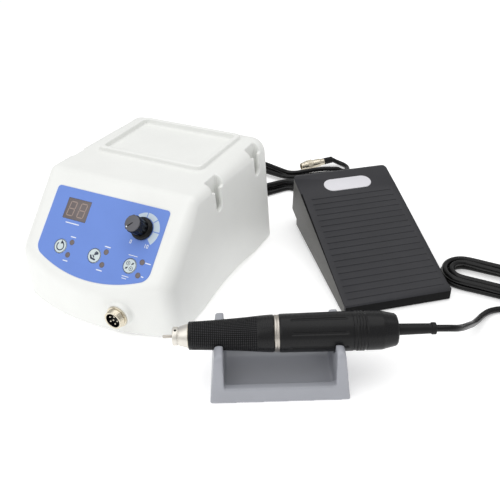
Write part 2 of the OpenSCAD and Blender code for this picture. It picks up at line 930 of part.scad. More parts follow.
module switch_frame() color("black")
    translate([-rear_x, rear_y, rear_z + switch_up])
        rotate([-90, 0, 0])
            difference() {
                union() {
                    linear_extrude(2)
                        round_square(switch_w + 3, switch_h + 3, 1.5);
                    translate([-switch_w / 2, -switch_h / 2, -14])
                        cube([switch_w, switch_h, 14]);
                }
                translate([-switch_w / 2 + 1.5, -switch_h / 2 + 1.5, -11])
                    cube([switch_w - 3, switch_h - 3, 20]);
                translate([0, 0, rocker_depth])
                    rotate([90, 0, 0])
                        cylinder(r = rocker_r + run, h = switch_h - 1, center = true);
            }

// Rocker of the power switch, at rest on its off side
module power_rocker() color("firebrick")
    translate([-rear_x, rear_y, rear_z + switch_up])
        rotate([-90, 0, 0])
            translate([0, 0, rocker_depth])
                rotate([0, rocker_tilt, 0])
                    rotate([90, 0, 0]) {
                        linear_extrude(switch_h - 3 - 2 * slip, center = true)
                            polygon([
                                [-7, -2.4], [-7, 2.2], [0, 3.6], [7, 2.2], [7, -2.4], [2.2, -6], [-2.2, -6]
                            ]);
                        cylinder(r = rocker_r, h = switch_h - 1 - 2 * slip, center = true);
                    }

// Mains transformer: a stacked core round a coil
core_w = 54;
core_d = 44;
core_h = 30;
core_at = [44.5 - unit_w / 2, rear_y - 62];

coil_over = 5;
core_foot = coil_over + 1;

module on_core() {
    translate([core_at[0], core_at[1], plate_z + plate_t + core_foot + core_h / 2])
        children();
}

// Stacked core with two windows, standing on two feet
module transformer_core() color("gray")
    on_core() {
        difference() {
            cube([core_w, core_d, core_h], center = true);
            for (s = [-1, 1])
                translate([s * core_w / 4, 0, 0])
                    cube([core_w / 4, core_d / 2, core_h + 2 * over], center = true);
        }
        for (s = [-1, 1])
            translate([0, s * (core_d / 2 - 3), -core_h / 2 - core_foot / 2])
                cube([core_w, 6, core_foot], center = true);
    }

module transformer_coil() color("goldenrod")
    on_core()
        difference() {
            cube([3 * core_w / 4 - 2 * fit, core_d / 2 - 2 * fit, core_h + 2 * coil_over], center = true);
            cube([core_w / 4 + 2 * fit, core_d, core_h], center = true);
        }

driver_at = [unit_w / 2 - 44.5, front_y + 107];
driver_w = 62;
driver_l = 96;
driver_up = 7;

// Motor driver board on four posts, with its capacitors and terminals
module driver_board() color("seagreen")
    translate([driver_at[0], driver_at[1], plate_z + plate_t]) {
        translate([-driver_w / 2, -driver_l / 2, driver_up])
            cube([driver_w, driver_l, board_t]);
        for (x = [-1, 1], y = [-1, 1])
            translate([x * (driver_w / 2 - 5), y * (driver_l / 2 - 5), 0])
                cylinder(r = 3, h = driver_up);
        for (k = [0 : 2])
            translate([-16 + 16 * k, driver_l / 2 - 16, driver_up + board_t])
                cylinder(r = 6, h = 24);
        translate([-20, -driver_l / 2 + 4, driver_up + board_t])
            cube([40, 9, 10]);
    }

module heat_sink() color("lightslategray")
    translate([driver_at[0], driver_at[1] - 10, plate_z + plate_t + driver_up + board_t]) {
        translate([-21, -12, 0])
            cube([42, 24, 3]);
        for (k = [0 : 6])
            translate([-21 + 6.75 * k, -12, 3])
                cube([1.5, 24, 18]);
    }

// Handpiece

module tool_shank() color("silver")
    on_handpiece()
        turned([
            [0, -shank_reach], [shank_r - 0.3, -shank_reach], [shank_r, -shank_reach + 0.4],
            [shank_r, -shank_neck], [shank_r - 0.35, -shank_neck + 0.2], [shank_r - 0.35, -0.4],
            [shank_r, -0.2], [shank_r, 22], [0, 22]
        ]);

module collet() color("silver")
    on_handpiece()
        turned([
            [shank_r + 0.02, 1.2], [collet_r - 0.5, 1.2], [collet_r, 2], [collet_r, 24], [shank_r + 0.02, 24]
        ]);

module spindle_shaft() color("silver")
    on_handpiece()
        turned([
            [collet_r + 0.02, 2.6], [spindle_r - 0.4, 2.6], [spindle_r, 3.2],
            [spindle_r, bearing_stations[2] + bearing_l + 2], [0, bearing_stations[2] + bearing_l + 2],
            [0, 24.2], [collet_r + 0.02, 24.2]
        ]);

module nose_cap() color("lightgray")
    on_handpiece()
        turned([
            [collet_r + slip, 0], [nose_d / 2 - 0.8, 0], [nose_d / 2, 0.8], [nose_d / 2, 3.1],
            [nose_d / 2 - 0.8, 3.5], [nose_d / 2 - 0.8, 4.4], [nose_d / 2 + 0.1, 4.8],
            [quill_r - 0.2, nose_l], [spindle_r + slip, nose_l], [spindle_r + slip, 2.2],
            [collet_r + slip, 2.2]
        ]);

module front_quill() color("darkgray")
    on_handpiece()
        tube(quill_r, bearing_r + 0.02, nose_l, motor_s + 3);

module bearings() color("lightsteelblue")
    on_handpiece()
        for (s = bearing_stations)
            tube(bearing_r, spindle_r + 0.03, s, s + bearing_l);

module release_cam() color("slategray")
    on_handpiece()
        tube(bearing_r - run, spindle_r + slip, nose_l + 29, nose_l + 41);

module rotor_magnet() color("dimgray")
    on_handpiece()
        tube(magnet_r, spindle_r + 0.01, motor_s + 7, cap_s - 7);

module stator() color("peru")
    on_handpiece()
        tube(stator_r - 0.02, magnet_r + 0.4, motor_s + 5, cap_s - 4);

module grip_sleeve() color("black")
    on_handpiece() {
        f = grip_front_d / 2;
        b = grip_rear_d / 2;
        turned([
            [quill_r + run, grip_s + slip], [f - 0.6, grip_s + slip], [f, grip_s + 1],
            [f + 0.25, grip_s + grip_l * 0.15], [f + (b - f) * 0.28, grip_s + grip_l * 0.4],
            [f + (b - f) * 0.58, grip_s + grip_l * 0.65], [f + (b - f) * 0.9, grip_s + grip_l * 0.87],
            [b, grip_s + grip_l - 1], [b - 0.4, ring_s - slip], [quill_r + run, ring_s - slip]
        ]);
    }

module middle_ring() color("silver")
    on_handpiece()
        tube(grip_rear_d / 2 - 0.2, quill_r + 0.02, ring_s, motor_s);

module motor_housing() color("black")
    on_handpiece()
        difference() {
            turned([
                [quill_r + 0.02, motor_s], [motor_d / 2 - 0.8, motor_s], [motor_d / 2 - 0.4, motor_s + 0.6],
                [motor_d / 2, cap_s - 10], [motor_d / 2, cap_s], [stator_r, cap_s],
                [stator_r, motor_s + 5], [quill_r + 0.02, motor_s + 5]
            ]);
            for (k = [0 : motor_flutes - 1])
                rotate([0, 0, 360 * k / motor_flutes])
                    translate([motor_d / 2 + 0.5, 0, motor_s + 9]) {
                        cylinder(r = 1.3, h = motor_l - 14, $fn = 24);
                        sphere(1.3, $fn = 24);
                        translate([0, 0, motor_l - 14])
                            sphere(1.3, $fn = 24);
                    }
        }

module rear_cap() color("black")
    on_handpiece() {
        r = motor_d / 2;
        turned([
            [bearing_r + 0.02, cap_s], [r - 0.3, cap_s], [r - 0.3, cap_s + 2.4], [r + 0.1, cap_s + 2.8],
            [r + 0.1, cap_s + 8.4], [r - 0.5, cap_s + 8.8], [r - 0.5, cap_s + 9.6], [r - 0.1, cap_s + 10],
            [r - 0.3, relief_s - 11], [r - 1, relief_s - 8.5], [r - 2.6, relief_s - 1.2],
            [r - 3.6, relief_s], [relief_d / 2 + fit, relief_s], [relief_d / 2 + fit, relief_s - 4],
            [bearing_r, relief_s - 4],
            [bearing_r, cap_s + 13], [bearing_r + 0.02, cap_s + 13]
        ]);
    }

module strain_relief() color("black")
    on_handpiece() {
        r = relief_d / 2;
        turned([
            [0, relief_s - 7], [bearing_r - 1, relief_s - 7], [bearing_r - 1, relief_s - 4.2],
            [r, relief_s - 4.2], [r, relief_s], [r - 0.5, cord_s - 3.6], [r + 0.2, cord_s - 3.2],
            [r + 0.2, cord_s - 0.4], [r - 0.2, cord_s], [0, cord_s]
        ]);
    }

// Cradle: a drafted block with a scooped trough and two saddles between its arms
saddle_gap = 0.4;
grip_saddle_r = grip_front_d / 2 + (grip_rear_d - grip_front_d) * 0.16 + saddle_gap;

module cradle_sides() {
    w = cradle_w / 2;
    in = cradle_h * tan(cradle_lean);
    r = 4;
    polygon(concat(
        [[-w, 0], [w, 0]],
        arc_points(w - in - r, cradle_h - r, r, 0, 90, 6),
        arc_points(-w + in + r, cradle_h - r, r, 90, 180, 6)
    ));
}

// The cradle seen from its end: lean faces, round arm tops and the gap for the handpiece
module cradle_end(saddle_r) {
    lean = cradle_h * tan(cradle_lean);
    r = 6;
    difference() {
        polygon(concat(
            [[0, 0], [cradle_d, 0]],
            arc_points(cradle_d - lean - r, cradle_h - r, r, 0, 90, 8),
            arc_points(lean + r, cradle_h - r, r, 90, 180, 8)
        ));
        translate([axis_back, axis_h])
            circle(saddle_r);
        translate([axis_back, axis_h])
            polygon([
                [-saddle_r, 0], [saddle_r, 0], [saddle_r + 1, cradle_h - axis_h + over],
                [-saddle_r - 1, cradle_h - axis_h + over]
            ]);
    }
}

module cradle() color("lightsteelblue")
    on_cradle()
        intersection() {
            translate([0, cradle_d, 0])
                rotate([90, 0, 0])
                    linear_extrude(cradle_d)
                        cradle_sides();
            difference() {
                union() {
                    translate([-cradle_w / 2, 0, 0])
                        rotate([90, 0, 90])
                            linear_extrude(cradle_w / 2)
                                cradle_end(grip_saddle_r);
                    rotate([90, 0, 90])
                        linear_extrude(cradle_w / 2)
                            cradle_end(motor_d / 2 + saddle_gap);
                }
                trough();
            }
        }

// Trough between the end walls, open to the front above the lip, with a scooped floor
module trough() {
    w = cradle_w - 2 * cradle_h * tan(cradle_lean) - 2 * cradle_wall + 2;
    floor_h = 5;
    scoop = 14;
    back = cradle_d - cradle_wall;
    translate([-w / 2, 0, 0])
        rotate([90, 0, 90])
            linear_extrude(w) {
                translate([cradle_wall, floor_h + scoop])
                    square([back - cradle_wall, cradle_h]);
                translate([cradle_wall, floor_h])
                    square([back - cradle_wall - scoop, scoop + over]);
                translate([back - scoop, floor_h + scoop])
                    circle(scoop);
                translate([-over, lip_h])
                    square([back, cradle_h]);
                translate([0, 30])
                    square([cradle_d + over, cradle_h]);
            }
}

// Foot pedal

// Side outline of the tread: front wall, slope, head, rear wall and the lower edge with its step
module tread_side() {
    polygon([
        [0, skirt_front_h], [0, tread_front_h - 1.2], [1.4, tread_front_h], [slope_l, tread_slope_h],
        [head_s - 4.6, tread_rear_h - 0.9], each arc_points(head_s - 3.7, tread_rear_h - 4.9, 4, 102, 8, 6),
        [skirt_s, skirt_rear_h], [step_s, step_high_h], [step_s, step_low_h], [14, skirt_front_h]
    ]);
}

// The hollow of the tread, one wall inside its outline
module tread_hollow() {
    t = tread_wall;
    polygon([
        [t, -over], [t, tread_front_h - t], [slope_l, tread_slope_h - t * 1.06],
        [head_s - t, tread_rear_h - t * 1.6], [skirt_s - t, -over]
    ]);
}

module tread_plan() {
    w = tread_w / 2;
    r = tread_corner_r;
    translate([-w, 2])
        square([tread_w, skirt_s - r - 2]);
    translate([-w + 2, 0])
        square([tread_w - 4, skirt_s / 2]);
    translate([-w + r, skirt_s / 2])
        square([tread_w - 2 * r, skirt_s / 2]);
    for (s = [-1, 1]) {
        translate([s * (w - r), skirt_s - r])
            circle(r);
        translate([s * (w - 2), 2])
            circle(2);
    }
}

module pedal_slab(from, width) {
    translate([from, 0, 0])
        rotate([90, 0, 90])
            linear_extrude(width)
                children();
}

// Grooves between the ribs, inside a plain border on the slope
rib_from = 6.5;
rib_to = slope_l - 9.1;

module rib_grooves() {
    pitch = (rib_to - rib_from) / rib_count;
    groove = 1.1;
    lean = atan(slope_rise);
    translate([0, 0, tread_front_h])
        rotate([lean, 0, 0])
            for (k = [0 : rib_count])
                let (border = 4.5 + 3.5 * k / rib_count, at = (rib_from + pitch * k) / cos(lean))
                translate([border - tread_w / 2, at - groove / 2, -rib_depth - 0.4])
                    cube([tread_w - 2 * border, groove, 4]);
}

// Round rear corners of the tread, leaning with its rear wall
module corner_cuts() {
    w = tread_w / 2;
    r = tread_corner_r;
    lean = atan((skirt_s - head_s) / (tread_rear_h - 2.4 - skirt_rear_h));
    translate([0, skirt_s, skirt_rear_h])
        rotate([lean, 0, 0])
            for (s = [-1, 1])
                translate([s * (w - r), -r, -20])
                    difference() {
                        translate([s > 0 ? 0 : -r - over, 0, 0])
                            cube([r + over, r + over, 70]);
                        translate([0, 0, -over])
                            cylinder(r = r, h = 72);
                    }
}

module pedal_tread() color("darkslategray")
    on_pedal()
        difference() {
            union() {
                difference() {
                    intersection() {
                        pedal_slab(-tread_w / 2, tread_w)
                            tread_side();
                        linear_extrude(tread_rear_h + over)
                            tread_plan();
                    }
                    pedal_slab(-tread_w / 2 + tread_wall, tread_w - 2 * tread_wall)
                        tread_hollow();
                }
                for (s = [-1, 1])
                    translate([s * (lug_x - lug_t - slip) - lug_t / 2, 0, 0])
                        pedal_slab(0, lug_t) {
                            translate([pivot_back, pivot_h])
                                circle(lug_r);
                            translate([pivot_back - lug_r, pivot_h])
                                square([2 * lug_r, tread_front_h - tread_wall + 1 - pivot_h]);
                        }
                intersection() {
                    translate([0, spring_s, seat_h])
                        cylinder(r = spring_r + 1.5, h = 40);
                    pedal_slab(-tread_w / 2, tread_w)
                        tread_side();
                }
                intersection() {
                    for (s = [-1, 1])
                        translate([s * (tread_w / 2 - 5) - 5, skirt_s - 15, 0])
                            cube([10, 15, 70]);
                    pedal_slab(-tread_w / 2, tread_w)
                        tread_side();
                }
                intersection() {
                    translate([20, 70, 17])
                        cylinder(r = 4, h = 40);
                    pedal_slab(-tread_w / 2, tread_w)
                        tread_side();
                }
            }
            translate([0, pivot_back, pivot_h])
                rotate([0, 90, 0])
                    cylinder(r = pivot_r + run, h = tread_w - 2 * tread_wall, center = true);
            corner_cuts();
            rib_grooves();
        }

module pedal_base() color("dimgray")
    on_pedal()
        difference() {
            union() {
                translate([-base_w / 2, tread_wall + 2, pad_h])
                    cube([base_w, base_l - tread_wall - 2, base_floor]);
                for (s = [-1, 1])
                    translate([s * (base_w / 2 - 1.25) - 1.25, 0, 0])
                        pedal_slab(0, 2.5)
                            polygon([
                                [tread_wall + 2, pad_h], [tread_wall + 2, 5], [30, base_wall_h],
                                [base_l, base_wall_h], [base_l, pad_h]
                            ]);
                translate([-base_w / 2, base_l - 2.5, pad_h])
                    cube([base_w, 2.5, base_wall_h - pad_h]);
                for (s = [-1, 1])
                    translate([s * lug_x - lug_t / 2, 0, 0])
                        pedal_slab(0, lug_t) {
                            translate([pivot_back, pivot_h])
                                circle(pivot_r + 1.6);
                            translate([pivot_back - pivot_r - 1.6, pad_h])
                                square([2 * (pivot_r + 1.6), pivot_h - pad_h]);
                        }
                translate([0, spring_s, pad_h])
                    cylinder(r = spring_r - spring_wire, h = base_floor + 6);
                translate([20 - 9, 70 - 6, pad_h])
                    cube([18, 12, base_floor + 3]);
            }
            translate([0, pivot_back, pivot_h])
                rotate([0, 90, 0])
                    cylinder(r = pivot_r + 0.01, h = base_w - 6, center = true);
            for (s = [-1, 1])
                translate([s * (lug_x - lug_t - slip) - lug_t / 2 - slip + run, 0, 0])
                    pedal_slab(0, lug_t + 2 * (slip - run))
                        translate([pivot_back, pivot_h])
                            circle(lug_r + slip);
            translate([gland_x, base_l - 2.5 - over, gland_h])
                rotate([-90, 0, 0])
                    cylinder(r = 3.5 + run, h = 2.5 + 2 * over);
        }

module pivot_pin() color("silver")
    on_pedal()
        translate([0, pivot_back, pivot_h])
            rotate([0, 90, 0])
                cylinder(r = pivot_r, h = 2 * lug_x + lug_t, center = true);

// Return spring: a wound wire between the base and the seat under the tread
module return_spring() color("silver")
    on_pedal()
        translate([0, spring_s, 0]) {
            low = pad_h + base_floor + spring_wire / 2 + 0.05;
            high = seat_h - spring_wire / 2 - slip;
            steps = spring_turns * 12;
            path = [for (i = [0 : steps])
                [spring_r * cos(30 * i), spring_r * sin(30 * i), low + (high - low) * i / steps]];
            sweep(path, spring_wire / 2, 6, heading(path, 0), heading(path, steps));
        }

module sensor_board() color("darkgreen")
    on_pedal()
        translate([20, 70, pad_h + base_floor + 3]) {
            translate([-9, -6, 0])
                cube([18, 12, board_t]);
            translate([-2.5, -2, board_t])
                cube([5, 4, 1.5]);
        }

module sensor_magnet() color("gray")
    on_pedal()
        translate([20, 70, 14])
            cylinder(r = 3, h = 3);

module pedal_feet() color("black")
    on_pedal()
        for (s = [-1, 1], y = [24, base_l - 16])
            translate([s * (base_w / 2 - 12), y, 0])
                cylinder(r = 7, h = pad_h);

module pedal_gland() color("black")
    on_pedal()
        translate([gland_x, base_l, gland_h])
            rotate([-90, 0, 0])
                turned([
                    [0, -2.5], [3.5, -2.5], [3.5, 0], [4.2, 0], [4.2, 2], [3.2, gland_l], [0, gland_l]
                ]);

// Cords

function turn_xy(p, a) = [p[0] * cos(a) - p[1] * sin(a), p[0] * sin(a) + p[1] * cos(a)];
function spot(frame_at, yaw, p) =
    let (q = turn_xy([p[0], p[1]], yaw)) [frame_at[0] + q[0], frame_at[1] + q[1], p[2]];
function dir_xy(yaw) = [cos(yaw), sin(yaw), 0];

handpiece_dir = dir_xy(cradle_yaw);
handpiece_exit = spot([cradle_x, cradle_y], cradle_yaw, [cord_s - nose_left, axis_back, axis_h]);
pedal_dir = dir_xy(pedal_yaw + 90);
pedal_exit = spot([pedal_x, pedal_y], pedal_yaw, [gland_x, base_l + gland_l, gland_h]);

// Turn of the coil: a bend, a run, a bend and a run, each a quarter of the way round
function coil_spot(t, r) =
    let (q = 4 * (t - floor(t)), a = 180 * (q % 1))
    q < 1 ? [coil_run / 2 + r * sin(a), -r * cos(a)]
    : q < 2 ? [coil_run / 2 - coil_run * (q - 1), r]
    : q < 3 ? [-coil_run / 2 - r * sin(a), r * cos(a)]
    : [-coil_run / 2 + coil_run * (q - 3), -r];

// Layers: wind in on the table, climb in half a turn, wind out again on top
function layer_step(t, t_in) =
    t < t_in + 0.25 ? t : 2 * t_in + 0.5 - t;
function layer_z(t, t_in) =
    cord_d / 2 + layer_rise * (t < t_in ? 0 : t < t_in + 0.5 ? 2 * (t - t_in) : 1);

coil_turns = coil_in_turns + 0.5 + coil_out_turns;
coil_path = [for (i = [0 : coil_turns * loop_rings])
    let (t = i / loop_rings, r = coil_r - layer_rise * layer_step(t, coil_in_turns))
    spot(coil_at, 0, [each coil_spot(t, r), layer_z(t, coil_in_turns)])];
coil_start = coil_path[0] - [cord_d, 0, 0];
coil_end = coil_path[len(coil_path) - 1];
coil_tail = [
    coil_end + [8, 0.3, 0], coil_end + [16, 1.8, 0], coil_end + [23, 5.5, 0.1],
    coil_end + [28, 11, 0.2], coil_end + [30, 18, 0.3], coil_end + [30, 25, 0.3]
];
handpiece_plug_at = coil_tail[len(coil_tail) - 1];

module handpiece_cord() color("black") {
    path = smooth(concat([handpiece_exit], handpiece_route, [coil_start - [4, 0.4, 0], coil_start]));
    sweep(path, cord_d / 2, 8, handpiece_dir, [1, 0, 0]);
}

module handpiece_cord_coil() color("black") {
    path = concat([coil_start], coil_path, coil_tail);
    echo(str("least gap in the handpiece coil: ", least_gap(path, 8)));
    sweep(path, cord_d / 2, 6, [1, 0, 0], [0, 1, 0]);
}

// Loop of the hank: two lobes with a waist between them, and its outward direction
function lobe(a, wide) =
    let (
        open = sqrt(cos(a) * cos(a) + 0.02) - 0.14,
        right = cos(a) > 0
    )
    [(right ? hank_right : hank_left) * cos(a),
        sin(a) * (hank_waist + (right ? wide * hank_right_share : wide) * open)];
function lobe_out(a, wide) =
    let (d = lobe(a + 0.5, wide) - lobe(a - 0.5, wide)) [d[1], -d[0]] / norm(d);

hank_turns = hank_in_turns + 0.5 + hank_out_turns;
hank_path = [for (i = [0 : hank_turns * hank_rings])
    let (
        t = i / hank_rings,
        a = hank_from - 360 * t,
        turn = hank_in_turns - layer_step(t, hank_in_turns),
        wide = hank_lobe + hank_fan * turn
    )
    spot(hank_at, hank_yaw,
        [each (lobe(a, wide) + layer_rise * turn * lobe_out(a, wide)), layer_z(t, hank_in_turns)])];
hank_dir = along(hank_path[1] - hank_path[0]);
hank_start = hank_path[0] - cord_d * hank_dir;
hank_loop = arc_points(86.4, 259, 12.7, -64, 136, 9);
hank_tail = [
    [92, 247.6, 8.1],
    for (i = [0 : 8]) [each hank_loop[i], 2.7 + 5.7 * pow(abs(1 - 2 * (i + 1) / 9), 3)]
];
pedal_plug_at = hank_tail[len(hank_tail) - 1];
pedal_plug_dir = along([-27.4, -28.8, -2]);

module pedal_cord() color("black") {
    path = smooth(concat([pedal_exit], pedal_route, [hank_start]));
    sweep(path, cord_d / 2, 8, pedal_dir, hank_dir);
}

module pedal_cord_hank() color("black") {
    path = concat([hank_start], hank_path, hank_tail);
    echo(str("least gap in the pedal hank: ", least_gap(path, 8)));
    sweep(path, cord_d / 2, 6, hank_dir, pedal_plug_dir);
}

// Places a piece with its Z axis along a direction
module aimed(at, dir) {
    translate(at)
        rotate([0, acos(dir[2]), atan2(dir[1], dir[0])])
            children();
}

// Body of a cord plug: tail, barrel and a spigot that carries the coupling ring
module plug_body(r, l) {
    turned([
        [0, 0], [cord_d / 2 + 1, 0], [r - 1, l * 0.4], [r, l * 0.45], [r, l * 0.7],
        [r - 1.4, l * 0.7], [r - 1.4, l], [0, l]
    ]);
}

module plug_ring(r, l) {
    difference() {
        turned([
            [r - 1.4 + run, l * 0.7 + slip], [r + 0.6, l * 0.7 + slip], [r + 1, l * 0.7 + slip + 0.5],
            [r + 1, l + 3], [r + 0.5, l + 3.6], [r - 1.4 + run, l + 3.6]
        ]);
        for (k = [0 : 23])
            rotate([0, 0, 15 * k])
                translate([r + 1.25, 0, l * 0.7 + 1.5])
                    cylinder(r = 0.5, h = l * 0.3, $fn = 16);
    }
}

module handpiece_plug() color("black")
    aimed(handpiece_plug_at, [0, 1, 0])
        plug_body(big_plug_r, big_plug_l);

module handpiece_plug_ring() color("silver")
    aimed(handpiece_plug_at, [0, 1, 0])
        plug_ring(big_plug_r, big_plug_l);

module pedal_plug() color("black")
    aimed(pedal_plug_at, pedal_plug_dir)
        plug_body(small_plug_r, small_plug_l);

module pedal_plug_ring() color("silver")
    aimed(pedal_plug_at, pedal_plug_dir)
        plug_ring(small_plug_r, small_plug_l);

housing();
base_plate();
unit_feet();
base_screws();
panel_overlay();
display_lens();
display_module();
indicator_lenses();
key_direction();
key_control();
key_auto();
speed_knob();
knob_cap();
control_shaft();
potentiometer();
control_board();
front_socket_shell();
front_socket_insert();
front_socket_pins();
front_socket_nut();
transformer_core();
transformer_coil();
driver_board();
heat_sink();
mains_inlet();
switch_frame();
power_rocker();
pedal_socket_shell();
pedal_socket_insert();
tool_shank();
collet();
nose_cap();
front_quill();
bearings();
spindle_shaft();
rotor_magnet();
stator();
release_cam();
grip_sleeve();
middle_ring();
motor_housing();
rear_cap();
strain_relief();
cradle();
pedal_tread();
pedal_base();
pivot_pin();
return_spring();
sensor_board();
sensor_magnet();
pedal_feet();
pedal_gland();
handpiece_cord();
handpiece_cord_coil();
handpiece_plug();
handpiece_plug_ring();
pedal_cord();
pedal_cord_hank();
pedal_plug();
pedal_plug_ring();
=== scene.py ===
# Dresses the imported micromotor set: camera, light, cords, and detailed pieces over the CAD frame.
# Shapes are worked out in millimetres in the frame of the CAD model and turned into metres at the end.

import math

import bmesh
import bpy
from mathutils import Matrix, Vector


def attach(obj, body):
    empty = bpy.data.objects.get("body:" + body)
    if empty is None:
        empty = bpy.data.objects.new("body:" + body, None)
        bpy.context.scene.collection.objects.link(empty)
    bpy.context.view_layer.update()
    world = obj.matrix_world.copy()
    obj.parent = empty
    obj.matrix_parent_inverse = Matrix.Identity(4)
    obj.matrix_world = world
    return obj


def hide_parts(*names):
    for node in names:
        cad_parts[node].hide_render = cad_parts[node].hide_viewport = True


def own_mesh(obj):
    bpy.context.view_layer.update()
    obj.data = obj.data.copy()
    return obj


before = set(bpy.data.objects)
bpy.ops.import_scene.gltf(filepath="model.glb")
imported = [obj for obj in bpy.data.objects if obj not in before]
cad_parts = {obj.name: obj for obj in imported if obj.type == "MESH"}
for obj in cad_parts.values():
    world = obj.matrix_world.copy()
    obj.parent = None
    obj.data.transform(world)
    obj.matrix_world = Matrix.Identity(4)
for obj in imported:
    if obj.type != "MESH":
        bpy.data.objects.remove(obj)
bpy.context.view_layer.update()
scene = bpy.context.scene
MM = 0.001

# Places of the parts, as part.scad has them
PANEL_TILT, PANEL_Y, PANEL_Z = 45.2, -38.1, 93.1
BOW_R, BOW_Y = 187, 94
SOCKET_X, SOCKET_Z, BOSS_H = 33.5, 21.6, 3.6
REAR_X, REAR_Y, INLET_Z, SWITCH_Z = 38, 104, 36, 66


def at(x, y, z):
    return Matrix.Translation((x, y, z))


def spin(degrees, axis):
    return Matrix.Rotation(math.radians(degrees), 4, axis)


def aim(point, direction):
    d = Vector(direction).normalized()
    turn = math.degrees(math.atan2(d.y, d.x))
    return at(*point) @ spin(turn, "Z") @ spin(math.degrees(math.acos(d.z)), "Y")


TABLE = Matrix.Identity(4)
SIDEWAYS = spin(90, "Z") @ spin(90, "X")
PANEL = at(0, PANEL_Y, PANEL_Z) @ spin(PANEL_TILT, "X")
CRADLE = at(178.8, -102.9, 0) @ spin(27.8, "Z")
HANDPIECE = CRADLE @ at(-75.6, 30, 38.5) @ spin(90, "Y")
PEDAL = at(224.4, 36.5, 0) @ spin(39.7, "Z")
BOSS_Y = BOW_Y - math.sqrt(BOW_R ** 2 - SOCKET_X ** 2) - BOSS_H
SOCKET = at(SOCKET_X, BOSS_Y, SOCKET_Z) @ spin(90, "X")
REAR_WALL = spin(-90, "X")
PEDAL_SOCKET = at(REAR_X, REAR_Y, INLET_Z) @ REAR_WALL
INLET = at(-REAR_X, REAR_Y, INLET_Z) @ REAR_WALL
SWITCH = at(-REAR_X, REAR_Y, SWITCH_Z) @ REAR_WALL

# Procedural materials
NOISE_LOW, NOISE_HIGH = 0.3, 0.7
GRAIN_DEPTH = 0.0003
COAT_ROUGH = 0.12


def linear(red, green, blue):
    def channel(value):
        value = value / 255
        return value / 12.92 if value <= 0.04045 else ((value + 0.055) / 1.055) ** 2.4
    return (channel(red), channel(green), channel(blue), 1)


def shade(colour, factor):
    return tuple(min(1, c * factor) for c in colour[:3]) + (1,)


def surface(name, colour, rough, metallic=0.0, vary=0.05, patch=45, grain=2400, bump=0.05,
            rough_vary=0.06, coat=0.0, ior=1.5, brushed=None):
    colour = linear(*colour)
    material = bpy.data.materials.new(name)
    material.use_nodes = True
    nodes = material.node_tree.nodes
    links = material.node_tree.links
    shader = nodes["Principled BSDF"]
    shader.inputs["Metallic"].default_value = metallic
    shader.inputs["IOR"].default_value = ior
    shader.inputs["Coat Weight"].default_value = coat
    shader.inputs["Coat Roughness"].default_value = COAT_ROUGH
    where = nodes.new("ShaderNodeTexCoord")

    # Slow change of tone over the surface
    clouds = nodes.new("ShaderNodeTexNoise")
    clouds.inputs["Scale"].default_value = patch
    clouds.inputs["Detail"].default_value = 4
    links.new(where.outputs["Object"], clouds.inputs["Vector"])
    tone = nodes.new("ShaderNodeValToRGB")
    tone.color_ramp.elements[0].position = NOISE_LOW
    tone.color_ramp.elements[1].position = NOISE_HIGH
    tone.color_ramp.elements[0].color = shade(colour, 1 - vary)
    tone.color_ramp.elements[1].color = shade(colour, 1 + vary)
    links.new(clouds.outputs["Fac"], tone.inputs["Fac"])
    links.new(tone.outputs["Color"], shader.inputs["Base Color"])

    # Fine grain for the roughness and the relief
    fine = nodes.new("ShaderNodeTexNoise")
    fine.inputs["Scale"].default_value = grain
    fine.inputs["Detail"].default_value = 3
    if brushed:
        stretch = nodes.new("ShaderNodeMapping")
        stretch.inputs["Scale"].default_value = brushed
        links.new(where.outputs["Object"], stretch.inputs["Vector"])
        links.new(stretch.outputs["Vector"], fine.inputs["Vector"])
    else:
        links.new(where.outputs["Object"], fine.inputs["Vector"])
    spread = nodes.new("ShaderNodeMapRange")
    spread.inputs["From Min"].default_value = NOISE_LOW
    spread.inputs["From Max"].default_value = NOISE_HIGH
    spread.inputs["To Min"].default_value = max(0.02, rough - rough_vary)
    spread.inputs["To Max"].default_value = min(1, rough + rough_vary)
    links.new(fine.outputs["Fac"], spread.inputs["Value"])
    links.new(spread.outputs["Result"], shader.inputs["Roughness"])
    relief = nodes.new("ShaderNodeBump")
    relief.inputs["Strength"].default_value = bump
    relief.inputs["Distance"].default_value = GRAIN_DEPTH
    links.new(fine.outputs["Fac"], relief.inputs["Height"])
    links.new(relief.outputs["Normal"], shader.inputs["Normal"])
    return material


WHITE = surface("white_shell", (240, 241, 238), 0.36, vary=0.012, grain=2600, bump=0.03, coat=0.08)
BLUE = surface("blue_film", (114, 145, 219), 0.55, vary=0.02, grain=3200, bump=0.03, ior=1.3)
PALE_PRINT = surface("pale_print", (196, 212, 226), 0.45, vary=0.02, grain=3000, bump=0.03)
DARK_PRINT = surface("dark_print", (48, 56, 78), 0.5, grain=3000, bump=0.03)
WHITE_PRINT = surface("white_print", (236, 240, 246), 0.5, vary=0.02, grain=3000, bump=0.03)
SMOKED = surface("smoked_window", (110, 102, 102), 0.2, grain=900, bump=0.01, ior=1.35)
SEGMENT = surface("unlit_segment", (154, 136, 128), 0.4, grain=2000, bump=0.02)
LENS = surface("indicator_lens", (114, 105, 105), 0.3, vary=0.08, grain=1400, bump=0.02, ior=1.35)
KEY = surface("key_cap", (206, 219, 221), 0.4, vary=0.02, grain=2600, bump=0.03)
KNOB = surface("knob_black", (11, 11, 13), 0.28, vary=0.12, grain=2000, bump=0.04, ior=1.32)
KNOB_GREY = surface("knob_grey", (90, 90, 96), 0.42, bump=0.04)
NICKEL = surface("nickel", (212, 204, 186), 0.24, 1.0, grain=1200, bump=0.02, rough_vary=0.08)
BRUSHED = surface("brushed_steel", (190, 184, 176), 0.36, 1.0, grain=700, brushed=(1, 1, 0.08))
SATIN = surface("satin_steel", (222, 218, 210), 0.44, 1.0, vary=0.03, grain=700, bump=0.04,
                brushed=(1, 1, 0.08))
